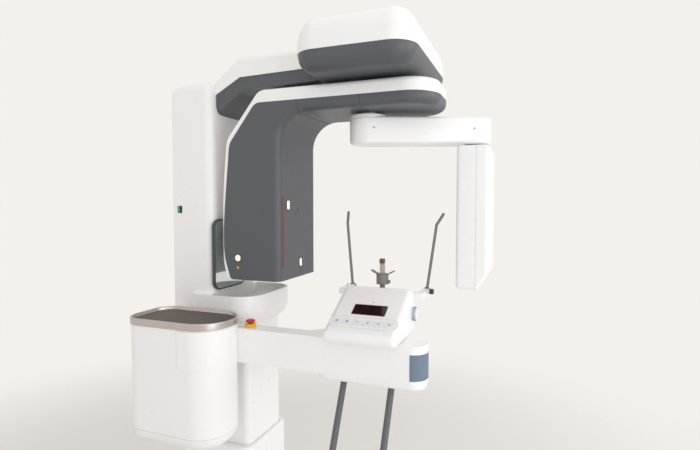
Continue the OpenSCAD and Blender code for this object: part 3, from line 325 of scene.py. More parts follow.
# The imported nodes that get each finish; all others are white covers
FINISH_OF = by_name({
    "powder": "base_plate wall_bracket", "anodised": "mast",
    "ground": "mast_rails lift_rod cross_stage long_stage drive_pulley rotor_hub swing_pin",
    "carriage": "lift_tube carriage_frame upper_arm_tube head_frame",
    "shell": "upper_arm_underside head_lower_cover source_shell",
    "motor": "drive_motor", "belt": "drive_belt", "cast": "xray_tube", "port": "source_windows",
    "rim": "mirror_frame", "mirror": "mirror_glass", "ring": "gap_ring", "detector": "detector_panel",
    "blue": "beam_end_inset", "tray": "tray", "mat": "tray_mat", "grip": "hand_grips", "yellow": "stop_base",
    "red": "stop_button", "plate": "button_plate", "window": "display_window", "dial": "temple_dial",
    "key": " ".join("control_button_%d" % i for i in range(1, 7)),
    "rod": "temple_rod_left temple_rod_right chin_post", "bite": "bite_block"})

# Every finish by its short key, filled in by the finishes step
FINISHES = {}

# Radius in millimetres of each cover's moulded edges
EDGES = {"tower_cover": 3, "bowl_cover": 2, "plinth_sleeve": 2, "upper_arm_underside": 2,
         "arm_top_cover": 1.5, "source_shell": 2.5, "beam_cover": 4, "beam_under_cover": 1.2, "cabinet": 2,
         "wrap_panel": 0.4, "stop_base": 1.5, "temple_bracket": 3, "chin_socket": 2, "chin_post": 1.2,
         "mirror_frame": 2, "temple_dial": 1.5, "button_plate": 0.4}
UPPER_ARM_EDGE = 2.5
HEAD_EDGE = 1.5


# Outlines, solids and finished pieces

def rounded(corners, steps=10):
    """A closed outline in millimetres: each (x, y, radius) becomes an arc of that radius."""
    points = []
    for i, (x, y, radius) in enumerate(corners):
        here = Vector((x, y))
        if radius <= 0:
            points.append(here)
            continue
        back = (Vector(corners[i - 1][:2]) - here).normalized()
        ahead = (Vector(corners[(i + 1) % len(corners)][:2]) - here).normalized()
        half = back.angle(ahead) / 2
        middle = here + (back + ahead).normalized() * (radius / math.sin(half))
        first = here + back * (radius / math.tan(half)) - middle
        last = here + ahead * (radius / math.tan(half)) - middle
        sweep = math.atan2(first.x * last.y - first.y * last.x, first.dot(last))
        for k in range(steps + 1):
            turn = sweep * k / steps
            points.append(middle + Vector((first.x * math.cos(turn) - first.y * math.sin(turn),
                                           first.x * math.sin(turn) + first.y * math.cos(turn))))
    return points


def pill(width, depth, radius, steps=10):
    """A rounded rectangle about the origin, in millimetres."""
    w, d = width / 2, depth / 2
    return rounded([(-w, -d, radius), (w, -d, radius), (w, d, radius), (-w, d, radius)], steps)


def bend(x, y, across, up, first, last, steps):
    """Points of an ellipse's arc about (x, y), between two angles in degrees."""
    turns = [math.radians(first + (last - first) * k / steps) for k in range(steps + 1)]
    return [(x + across * math.cos(turn), y + up * math.sin(turn)) for turn in turns]


def loft(rings):
    """A closed solid through rings of points in metres, with a face over its first and its last ring."""
    bm = bmesh.new()
    rows = [[bm.verts.new(point) for point in ring] for ring in rings]
    bm.faces.new(rows[0][::-1])
    bm.faces.new(rows[-1])
    for lower, upper in zip(rows, rows[1:]):
        for i in range(len(lower)):
            j = (i + 1) % len(lower)
            bm.faces.new((lower[i], lower[j], upper[j], upper[i]))
    return bm


def slab(outline, low, high, place):
    """A closed solid from an outline, between two heights; place turns (a, b, height) into metres."""
    return loft([[place(p[0], p[1], height) for p in outline] for height in (low, high)])


def flat_on(x, y):
    """Places a plan outline, with heights along Z."""
    return lambda a, b, h: Vector((x + a, y + b, h)) * MM


def side_on(x, y):
    """Places a Y-Z outline, with heights along X."""
    return lambda a, b, h: Vector((x + h, y + a, b)) * MM


def lathe(profile, steps, matrix):
    """A closed turned solid from a profile of (radius, height) that ends on the axis or where it starts."""
    bm = bmesh.new()
    rings = []
    for radius, height in profile:
        turns = [2 * math.pi * k / steps for k in range(steps if radius else 1)]
        spots = [Vector((radius * math.cos(turn), radius * math.sin(turn), height)) * MM for turn in turns]
        rings.append([bm.verts.new(matrix @ spot) for spot in spots])
    for lower, upper in zip(rings, rings[1:]):
        for k in range(steps):
            corners = [lower[k % len(lower)], lower[(k + 1) % len(lower)],
                       upper[(k + 1) % len(upper)], upper[k % len(upper)]]
            face = [v for i, v in enumerate(corners) if v not in corners[:i]]
            if len(face) > 2:
                bm.faces.new(face)
    return bm


def to_mesh(shape):
    """A bmesh as a mesh, with doubles merged and faces turned outwards; a mesh stays as it is."""
    if isinstance(shape, bpy.types.Mesh):
        return shape
    bmesh.ops.remove_doubles(shape, verts=shape.verts, dist=1e-7)
    bmesh.ops.recalc_face_normals(shape, faces=shape.faces)
    return plain(shape)


def plain(bm):
    """The bmesh as a mesh whose faces keep the way they point."""
    mesh = bpy.data.meshes.new("plain")
    bm.to_mesh(mesh)
    bm.free()
    return mesh


def join(parts):
    """Several bmeshes as one mesh."""
    whole = bmesh.new()
    for part in parts:
        mesh = to_mesh(part)
        whole.from_mesh(mesh)
        bpy.data.meshes.remove(mesh)
    return plain(whole)


def linked(name, data):
    """A new object in the scene."""
    obj = bpy.data.objects.new(name, data)
    bpy.context.collection.objects.link(obj)
    return obj


def baked(work):
    """The mesh that an object's modifiers give; the object itself goes."""
    done = bpy.data.meshes.new_from_object(work.evaluated_get(bpy.context.evaluated_depsgraph_get()))
    bpy.data.objects.remove(work)
    return done


def modified(mesh, *modifiers):
    """The mesh after (type, settings) modifiers, as a plain mesh."""
    mesh.polygons.foreach_set("use_smooth", [True] * len(mesh.polygons))
    work = linked("work", mesh)
    for kind, settings in modifiers:
        modifier = work.modifiers.new(kind, kind)
        for key, value in settings.items():
            setattr(modifier, key, value)
    return baked(work)


def soft_edges(shape, width, segments, angle=30):
    """Rounds the edges as a mould does, and keeps the flats flat in their shading."""
    return modified(to_mesh(shape), ("BEVEL", {"width": width * MM, "segments": segments,
                                               "limit_method": "ANGLE", "angle_limit": math.radians(angle)}),
                    ("WEIGHTED_NORMAL", {"keep_sharp": True}))


def piece(name, shape, finish, body, stands_for=(), smooth=32):
    """Puts a shape into the scene as a finished piece with its material and the body that it rides on."""
    mesh = to_mesh(shape)
    mesh.name = name
    obj = linked(name, mesh)
    mesh.materials.clear()
    mesh.materials.append(FINISHES[finish])
    mesh.polygons.foreach_set("material_index", [0] * len(mesh.polygons))
    if smooth:
        mesh.polygons.foreach_set("use_smooth", [True] * len(mesh.polygons))
        mesh.set_sharp_from_angle(angle=math.radians(smooth))
    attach(obj, body)
    if stands_for:
        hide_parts(*stands_for)


def merged(node):
    """A copy of a node's mesh with its loose triangles joined."""
    bm = bmesh.new()
    bm.from_mesh(frame["nodes"][node].data)
    bmesh.ops.remove_doubles(bm, verts=bm.verts, dist=1e-6)
    bmesh.ops.dissolve_limit(bm, angle_limit=0.002, verts=bm.verts, edges=bm.edges)
    return bm


def body_of(node):
    """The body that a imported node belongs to."""
    return next(name for name, nodes in BODIES.items() if node in nodes)


def seam_band(mesh, point, normal, width, proud=0.12, depth=0.7):
    """The thin strip of a surface by a plane, raised by a hair and closed; its finish paints the shade in a
    joint's groove.
    """
    bm = bmesh.new()
    bm.from_mesh(mesh)
    normal = Vector(normal).normalized()
    point = Vector(point) * MM
    for side in (-1, 1):
        bmesh.ops.bisect_plane(bm, geom=bm.verts[:] + bm.edges[:] + bm.faces[:],
                               plane_co=point + normal * (side * width / 2 * MM), plane_no=normal * side,
                               clear_outer=True)
    bm.normal_update()
    for vert in bm.verts:
        vert.co += vert.normal * proud * MM
    return modified(plain(bm), ("SOLIDIFY", {"thickness": depth * MM, "offset": -1.0}))


def soft_prism(centres, radius, half, place, arc=8):
    """A closed prism with round edges all over: a ball swept along a convex outline and across its depth.
    The centres run counter-clockwise, and place turns (a, b, depth) in millimetres into metres."""
    corners = []
    for i, centre in enumerate(centres):
        back = Vector(centre) - Vector(centres[i - 1])
        ahead = Vector(centres[(i + 1) % len(centres)]) - Vector(centre)
        start = math.atan2(-back.x, back.y)
        sweep = (math.atan2(-ahead.x, ahead.y) - start) % (2 * math.pi)
        corners.append((*centre, math.degrees(start), math.degrees(start + sweep)))
    steps = bend(0, radius - half, radius, -radius, 90, 0, arc)
    steps += [(reach, -depth) for reach, depth in reversed(steps)]
    return loft([[place(x, y, depth) for a, b, start, end in corners
                  for x, y in bend(a, b, reach, reach, start, end, arc)] for reach, depth in steps])


def frame_ring(outer, inner, low, high, place):
    """A closed flat ring between two outlines of the same number of points."""
    bm = bmesh.new()
    loops = [[bm.verts.new(place(p[0], p[1], h)) for p in outline]
             for outline, h in ((outer, low), (outer, high), (inner, high), (inner, low))]
    for k in range(4):
        first, second = loops[k], loops[(k + 1) % 4]
        for i in range(len(first)):
            j = (i + 1) % len(first)
            bm.faces.new((first[i], first[j], second[j], second[i]))
    return bm


def cut(shape, *cutters, operation="DIFFERENCE"):
    """The shape less each cutter, or what it shares with them."""
    tools = [linked("cutter", to_mesh(cutter)) for cutter in cutters]
    done = modified(to_mesh(shape), *[("BOOLEAN", {"object": tool, "solver": "EXACT", "operation": operation})
                                      for tool in tools])
    for tool in tools:
        bpy.data.objects.remove(tool)
    if not done.polygons:
        raise RuntimeError("nothing is left of a shape after its cut")
    return done


def pin(radius, low, high, x, y):
    """A cutter for an upright bore."""
    return lathe([(0, low), (radius, low), (radius, high), (0, high)], 64,
                 Matrix.Translation((x * MM, y * MM, 0)))


def on_panel(x, y=0):
    """Places an outline on the control box's sloping face, with heights square to it."""
    return lambda a, b, h: PANEL @ (Vector((x + a, y + b, h)) * MM)


def on_source(x, z):
    """Places an outline on the source's inner face, with heights out of it."""
    return lambda a, b, h: Vector((x + a, SOURCE_FACE_Y - h, z + b)) * MM


def on_side(x, y, z):
    """Places an outline on a face that looks towards the cabinet's side, with heights out of it."""
    return lambda a, b, h: Vector((x - h, y - a, z + b)) * MM


# Plain marks for the six keys: up, down, plus, minus, a disc and a square
KEY_MARKS = [
    [[(5, 0), (-3, 5), (-3, -5)]],
    [[(-5, 0), (3, -5), (3, 5)]],
    [pill(11, 2.4, 0.96, 3), pill(2.4, 11, 0.96, 3)],
    [pill(2.4, 11, 0.96, 3)],
    [bend(0, 0, 4.6, 4.6, 0, 342, 19)],
    [pill(8.4, 8.4, 1.2, 3)],
]


# Repeated parts, made by geometry nodes

def repeat_tree(name, sides=0):
    """A node tree that sets copies of a block round a ring, or of a rod with some sides on a grid.
    Its sizes and its material are inputs."""
    tree = bpy.data.node_groups.new(name, "GeometryNodeTree")
    tree.interface.new_socket("Geometry", in_out="OUTPUT", socket_type="NodeSocketGeometry")
    kinds = {"Spread": "Vector"} if sides else {"Count": "Int", "Radius": "Float"}
    for label, kind in dict(kinds, Size="Vector", Finish="Material").items():
        tree.interface.new_socket(label, in_out="INPUT", socket_type="NodeSocket" + kind)
    given = add(tree, "NodeGroupInput").outputs
    rotation = {}
    if sides:
        spread = add(tree, "ShaderNodeSeparateXYZ", {"Vector": given["Spread"]}).outputs
        points = add(tree, "GeometryNodeMeshGrid", {"Size X": spread["X"], "Size Y": spread["Y"],
                                                    "Vertices X": 2, "Vertices Y": 2})
        size = add(tree, "ShaderNodeSeparateXYZ", {"Vector": given["Size"]}).outputs
        solid = add(tree, "GeometryNodeMeshCylinder", {"Vertices": sides, "Radius": size["X"],
                                                       "Depth": size["Z"]})
    else:
        points = add(tree, "GeometryNodeMeshCircle", {"Vertices": given["Count"], "Radius": given["Radius"]})
        solid = add(tree, "GeometryNodeMeshCube", {"Size": given["Size"]})
        place = add(tree, "GeometryNodeInputPosition").outputs["Position"]
        turned = add(tree, "FunctionNodeAlignRotationToVector", {"Vector": place}, axis="X")
        rotation["Rotation"] = turned.outputs["Rotation"]
    copies = add(tree, "GeometryNodeInstanceOnPoints", dict(rotation, Points=points.outputs["Mesh"],
                                                            Instance=solid.outputs["Mesh"]))
    real = add(tree, "GeometryNodeRealizeInstances", {"Geometry": copies.outputs["Instances"]})
    done = add(tree, "GeometryNodeSetMaterial", {"Geometry": real.outputs["Geometry"],
                                                 "Material": given["Finish"]})
    add(tree, "NodeGroupOutput", {"Geometry": done.outputs["Geometry"]})
    return tree


def repeated(tree, finish, matrix, **values):
    """The plain mesh that a tree gives for these values, put in its place."""
    work = linked("work", bpy.data.meshes.new("work"))
    modifier = work.modifiers.new("repeat", "NODES")
    modifier.node_group = tree
    named = {item.name: item.identifier for item in tree.interface.items_tree if item.in_out == "INPUT"}
    for label, value in dict(values, Finish=FINISHES[finish]).items():
        modifier[named[label]] = value
    done = baked(work)
    done.transform(matrix)
    return done


# Stage

def area_light(name, place, aim, size, power, code):
    """A rectangular lamp that points from its place to its aim."""
    data = bpy.data.lights.new(name, "AREA")
    data.shape = "RECTANGLE"
    data.size, data.size_y = size
    data.energy = power
    data.color = linear(code)[:3]
    lamp = linked(name, data)
    lamp.location = place
    lamp.rotation_euler = (Vector(aim) - Vector(place)).to_track_quat("-Z", "Y").to_euler()


def make_camera():
    """The photograph's camera: a wide lens at chest height, on the cabinet's side of the machine."""
    data = bpy.data.cameras.new("camera")
    data.sensor_width = 36.0
    data.lens = data.sensor_width * FOCAL_PIXELS / PHOTO_WIDTH
    data.clip_end = 60
    camera = linked("camera", data)
    camera.location = CAMERA_AT
    camera.rotation_euler = (math.radians(90 - CAMERA_DOWN), 0, math.radians(CAMERA_TURN))
    bpy.context.scene.camera = camera


def make_world(settings):
    """Even light all round, and a pale background for the camera and for reflections."""
    world = bpy.data.worlds.new("studio")
    world.use_nodes = True
    tree = world.node_tree
    tree.nodes.clear()
    rays = add(tree, "ShaderNodeLightPath").outputs
    seen = rays["Is Camera Ray"]
    for kind in ("Is Transmission Ray", "Is Glossy Ray"):
        seen = add(tree, "ShaderNodeMath", {0: seen, 1: rays[kind]}, operation="ADD",
                   use_clamp=True).outputs[0]
    light = add(tree, "ShaderNodeBackground", {"Color": linear("#f6f4f1"), "Strength": settings.sky})
    backdrop = add(tree, "ShaderNodeBackground", {"Color": linear(settings.backdrop_code), "Strength": 1.0})
    mixed = add(tree, "ShaderNodeMixShader", {0: seen, 1: light.outputs[0], 2: backdrop.outputs[0]})
    add(tree, "ShaderNodeOutputWorld", {"Surface": mixed.outputs[0]})
    bpy.context.scene.world = world


def make_floor(settings):
    """A pale floor that keeps the machine's shadow and fades into the background around it."""
    material, tree, place = blank("pale studio floor")
    lit = add(tree, "ShaderNodeBsdfPrincipled", {
        "Base Color": tone(tree, place, settings.floor_code, 900, 0.01), "Roughness": 0.8})
    away = add(tree, "ShaderNodeVectorMath", {0: place}, operation="LENGTH").outputs["Value"]
    fade = add(tree, "ShaderNodeMapRange", {"Value": away, "From Min": 1.2, "From Max": 3.2},
               interpolation_type="SMOOTHSTEP").outputs["Result"]
    clear = add(tree, "ShaderNodeBsdfTransparent")
    mixed = add(tree, "ShaderNodeMixShader", {0: fade, 1: lit.outputs[0], 2: clear.outputs[0]})
    add(tree, "ShaderNodeOutputMaterial", {"Surface": mixed.outputs[0]})
    bm = bmesh.new()
    bmesh.ops.create_grid(bm, x_segments=1, y_segments=1, size=3.4)
    floor = linked("floor", to_mesh(bm))
    floor.data.materials.append(material)
    floor.location.z = -0.0005


class StageSettings(bpy.types.PropertyGroup):
    sky: FloatProperty(name="Sky", description="Strength of the even light all round", default=0.80, min=0)
    key_power: FloatProperty(name="Key", description="Power of the main lamp", default=38, min=0,
                             unit="POWER")
    window_power: FloatProperty(name="Window", description="Power of the cool lamp beside the camera",
                                default=18, min=0, unit="POWER")
    fill_power: FloatProperty(name="Fill", description="Power of each fill lamp", default=7, min=0,
                              unit="POWER")
    backdrop_code: StringProperty(name="Backdrop", description="Backdrop colour as an sRGB hex value",
                                  default="#f4f0ec")
    floor_code: StringProperty(name="Floor", description="Floor colour as an sRGB hex value",
                               default="#ebe8e5")


class FinishSettings(bpy.types.PropertyGroup):
    cover_code: StringProperty(name="Covers", description="Colour of the white covers", default="#f7f5f4")
    shell_code: StringProperty(name="Shells", description="Colour of the dark shells", default="#56585d")
    tray_code: StringProperty(name="Tray", description="Colour of the tray's steel", default="#bfb9b4")


class DetailSettings(bpy.types.PropertyGroup):
    edge_share: FloatProperty(name="Edges", description="Share of each cover's edge radius", default=1.0,
                              min=0.1, max=1.5, subtype="FACTOR")
    seam_width: FloatProperty(name="Seams", description="Width of the joints between covers, in millimetres",
                              default=1.3, min=0.3)
    mark_height: FloatProperty(name="Marks", description="Height of the marks on the keys, in millimetres",
                               default=0.4, min=0.25)
    dial_ribs: IntProperty(name="Dial ribs", description="Ribs round the dial", default=40, min=12, max=60)
    knob_ribs: IntProperty(name="Knob ribs", description="Ribs round each clamp knob", default=14, min=6,
                           max=30)
    stop_ridges: IntProperty(name="Stop ridges", description="Ridges round the stop button", default=24,
                             min=8, max=40)


class SCANNER_OT_stage(bpy.types.Operator):
    """Makes the camera, the lamps, the backdrop and the floor"""
    bl_idname = "scanner.stage"
    bl_label = "Stage"

    def execute(self, context):
        settings = context.scene.scanner_stage
        context.scene.view_settings.view_transform = "Standard"
        make_camera()
        make_world(settings)
        make_floor(settings)
        for name, place, aim, size, power, code in (
                ("key", (0.3, -4.2, 2.2), (0, -0.4, 1.3), (2.6, 2.2), settings.key_power, "#fffcf8"),
                ("window", (-1.6, -2.7, 1.25), (-0.1, -0.6, 1.35), (1.4, 1.7), settings.window_power,
                 "#dcebf8"),
                ("fill", (-3.2, -1.4, 2.4), (0, -0.5, 1.2), (2.2, 2.2), settings.fill_power, "#fffaf4"),
                ("top", (-0.3, -0.6, 3.6), (0, -0.4, 1.0), (2.4, 2.4), settings.fill_power, "#f8fbff")):
            area_light(name, place, aim, size, power, code)
        return {"FINISHED"}


class SCANNER_OT_finishes(bpy.types.Operator):
    """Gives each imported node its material"""
    bl_idname = "scanner.finishes"
    bl_label = "Finishes"

    def execute(self, context):
        FINISHES.update(all_materials(context.scene.scanner_finish))
        for name, obj in frame["nodes"].items():
            for slot in obj.material_slots:
                slot.material = FINISHES[FINISH_OF.get(name, "cover")]
        return {"FINISHED"}


class SCANNER_OT_covers(bpy.types.Operator):
    """Rounds the moulded covers' edges as their moulds do, and makes the upper arm's and the head's covers"""
    bl_idname = "scanner.covers"
    bl_label = "Moulded covers"

    def execute(self, context):
        share = context.scene.scanner_detail.edge_share
        for node, width in EDGES.items():
            self.moulded(node, plain(merged(node)), width * share)
        outer = self.arm_block(0, ARM_HALF_WIDTH, ARM_EDGE, 0, (-411.8, -20.2))
        inner = self.arm_block(WALL, ARM_HALF_WIDTH - WALL, ARM_EDGE - WALL, -8, (-430, -5))
        self.moulded("upper_arm_cover", cut(outer, inner), UPPER_ARM_EDGE * share)
        self.head_covers(HEAD_EDGE * share)
        return {"FINISHED"}

    def moulded(self, node, shape, edge):
        """Sets a cover with moulded edges in the place of a node."""
        mesh = soft_edges(shape, edge, segments=3, angle=34)
        piece(node + "_moulded", mesh, FINISH_OF.get(node, "cover"), body_of(node), (node,), smooth=0)

    def head_covers(self, edge):
        """The head's two shells, whose crown curves in over most of its height, and the posts inside it."""
        passage = to_mesh(slab(pill(114, 61, 0), 1898, 1944, flat_on(0, -441.5)))
        opening = to_mesh(slab(pill(168, 153, 0), 1840, 1848, flat_on(0, -659.5)))
        # Each shell's inset at the joint, the height where its curve starts, how far it curves in and up
        for node, inset, start, reach, rise, openings in (
                ("head_top_cover", 0, 1918, 52, 92, [passage]),
                ("head_lower_cover", 3, 1896, 54, -54, [passage, opening])):
            skins = [[(inset + wall, HEAD_JOINT_Z)] + bend(inset + reach, start, wall - reach,
                                                           rise - math.copysign(wall, rise), 0, 90, 12)
                     for wall in (WALL, 0)]
            rings = [[flat_on(0, HEAD_Y)(p.x, p.y, z)
                      for p in pill(HEAD_WIDTH - 2 * back, HEAD_DEPTH - 2 * back, HEAD_CORNER - back, 16)]
                     for back, z in skins[0][::-1] + skins[1]]
            self.moulded(node, cut(loft(rings), *openings), edge)
        post = [(0, 1950.2), (8.4, 1950.2), (9, 1950.8), (9, 1995), (9.8, 2000.5), (11.6, 2004.2), (14, 2006),
                (0, 2006)]
        posts = [lathe(post, 24, Matrix.Translation((x, y, 0)))
                 for x in (-0.150, 0.150) for y in (-0.499, -0.719)]
        piece("head_posts", join(posts), "cover", body_of("head_top_cover"))

    def arm_block(self, wall, half, radius, lower, ends):
        """The upper arm's outline from the side, cut to its outline from the front, which has round top
        edges and reaches between two ends along Y."""
        side = rounded([(-20, 1832 + lower, 0), (-126, 1888 + lower, 0), (-412, 1894 + lower, 0),
                        (-412, 1964 - wall, 0), (-129, 1959 - wall, 30), (-20, 1874 - wall, 0)])
        front = rounded([(-half, 1810, 0), (half, 1810, 0), (half, 1964 - wall, radius),
                         (-half, 1964 - wall, radius)])
        return cut(slab(side, -half, half, side_on(0, -0.2)),
                   slab(front, *ends, lambda a, b, h: Vector((a, h, b)) * MM), operation="INTERSECT")


class SCANNER_OT_sensor(bpy.types.Operator):
    """Makes the sensor's case and the link that carries it"""
    bl_idname = "scanner.sensor"
    bl_label = "Sensor"

    def execute(self, context):
        x, y = SENSOR_AT
        case = soft_prism([(40.5, 1152), (40.5, 1611.7), (-40.5, 1611.7), (-40.5, 1198), (-10.5, 1152)],
                          13, 125, side_on(x, y))
        case = cut(case, pin(SENSOR_BORE, 1565, 1630, x, y))
        # The band is painted shade of the case's parting groove: a thin darker strip laid on the surface
        seam = seam_band(case, (x, y - 12, 1400), (0, 1, 0), context.scene.scanner_detail.seam_width)
        piece("sensor_case", case, "cover", "sensor", ("sensor_housing",), smooth=34)
        piece("sensor_case_seam_shade", seam, "seam", "sensor")
        piece("sensor_link", self.link(), "cover", "swing", ("sensor_arm",), smooth=34)
        boss = lathe([(SWING_BORE, 1726), (65.5, 1726), (65.5, 1735), (64.8, 1736.5), (63.5, 1737),
                      (SWING_BORE, 1737), (SWING_BORE, 1726)], 96,
                     Matrix.Translation((SWING_PIVOT[0] * MM, SWING_PIVOT[1] * MM, 0)))
        piece("sensor_link_boss", boss, "cover", "swing")
        out = Vector((-0.9153, -0.4029, 0)).to_track_quat("Z", "Y").to_matrix().to_4x4()
        for name, spot in (("inner", (-55.8, -618.3, 1688.7)), ("outer", (84.1, -936.2, 1688.0))):
            cap = lathe([(0, -1.5), (3.6, -1.5), (3.6, 0.35), (3.0, 0.7), (0, 0.8)], 28,
                        Matrix.Translation(Vector(spot) * MM) @ out)
            piece("sensor_link_cap_" + name, cap, "knob", "swing")
        return {"FINISHED"}

    def link(self):
        """The link: a belt round two circles in plan, with a round edge below and a smaller one above."""
        first, second = Vector(SWING_PIVOT), Vector(SENSOR_AT)
        along = second - first
        heading = math.degrees(math.atan2(along.y, along.x))
        half = math.degrees(math.acos((LINK_RADIUS - LINK_END_RADIUS) / along.length))
        ends = ((*second, LINK_END_RADIUS, heading - half, heading + half),
                (*first, LINK_RADIUS, heading + half, heading - half + 360))
        rings = [[Vector((x, y, z)) * MM for a, b, radius, start, end in ends
                  for x, y in bend(a, b, radius - inset, radius - inset, start, end, 28)]
                 for inset, z in bend(12, 1648, -12, -12, 90, 0, 6) + bend(9, 1719, -9, 9, 0, 90, 6)]
        return cut(loft(rings), pin(SWING_BORE, 1656, 1740, *SWING_PIVOT))


class SCANNER_OT_control(bpy.types.Operator):
    """Makes the control box, its display and the marks on its keys"""
    bl_idname = "scanner.control"
    bl_label = "Control box"

    def execute(self, context):
        detail = context.scene.scanner_detail
        case = soft_prism([(-279, 1023.2), (-83, 1023.2), (-83, 1125), (-92, 1126)], 21, 120,
                          lambda a, b, h: Vector((a, BOX_Y + h, b)) * MM, arc=10)
        key_places = [on_panel(KEYS_X, (i - 2.5) * KEY_PITCH) for i in range(6)]
        plate_place, display_place = on_panel(KEYS_X), on_panel(*DISPLAY_AT)
        wells = [slab(pill(54.4, 224.4, 26), -3, 14, plate_place),
                 slab(pill(46.4, 108.4, 3), -2.5, 14, display_place)]
        wells += [slab(pill(27, 29, 6), -9, 0, place) for place in key_places]
        bore = (Matrix.Translation((DIAL_X, (BOX_Y - 121) * MM, DIAL_Z))
                @ Matrix.Rotation(-math.pi / 2, 4, "X"))
        wells.append(lathe([(0, 0), (DIAL_BORE, 0), (DIAL_BORE, 24), (0, 24)], 48, bore))
        piece("control_case", cut(case, *wells), "cover", "carriage", ("control_box",), smooth=34)
        # Flat rings: width, depth and corner of the outer and of the inner outline, then two heights
        for name, outer, inner, low, high, place, finish in (
                ("overlay_border", (49, 219, 23.5), (47.6, 217.6, 22.8), 0.6, 0.85, plate_place, "ink"),
                ("display_bezel", (49, 111, 4), (45.4, 107.4, 2.4), -0.4, 0.5, display_place, "rim"),
                ("display_glow", (44.6, 106.6, 2.2), (42.6, 104.6, 1.6), -0.2, 0.36, display_place, "glow")):
            piece(name, frame_ring(pill(*outer), pill(*inner), low, high, place), finish, "carriage")
        lamp = lathe([(0, -0.5), (3.2, -0.5), (3.2, 0.5), (2.2, 1.4), (0, 1.8)], 28,
                     PANEL @ Matrix.Translation((0.0375, -0.008, 0)))
        piece("panel_lamp", lamp, "amber", "carriage")
        for i, (place, shapes) in enumerate(zip(key_places, KEY_MARKS), 1):
            marks = [slab(shape, 2.2, 2.2 + detail.mark_height, place) for shape in shapes]
            piece("key_mark_%d" % i, join(marks), "ink", "button_%d" % i)
        return {"FINISHED"}


class SCANNER_OT_tray(bpy.types.Operator):
    """Makes the tray with its rolled rim"""
    bl_idname = "scanner.tray"
    bl_label = "Tray"

    def execute(self, context):
        # How far the plan grows at each height: up the wall, over the rolled rim and in below it
        profile = [(2.2, 1023.2), (3.0, 1024.0)] + bend(-0.5, 1043.5, 3.5, 3.5, 0, 180, 12)
        profile += [(-4.4, 1041.0), (-5.8, 1038.0), (-6.0, 1036.0), (-6.6, 1034.6), (-7.8, 1034.0)]
        rings = [[flat_on(*TRAY_AT)(p.x, p.y, z) for p in self.plan(grow)] for grow, z in profile]
        piece("tray_pressing", loft(rings), "tray", "carriage", ("tray",), smooth=40)
        return {"FINISHED"}

    def plan(self, grow):
        """The tray's plan, rounder at its outer end than by the column."""
        w, d = 104 + grow, 179 + grow
        return rounded([(-w, -d, 96 + grow), (w, -d, 96 + grow), (w, d, 60 + grow), (-w, d, 60 + grow)], 18)


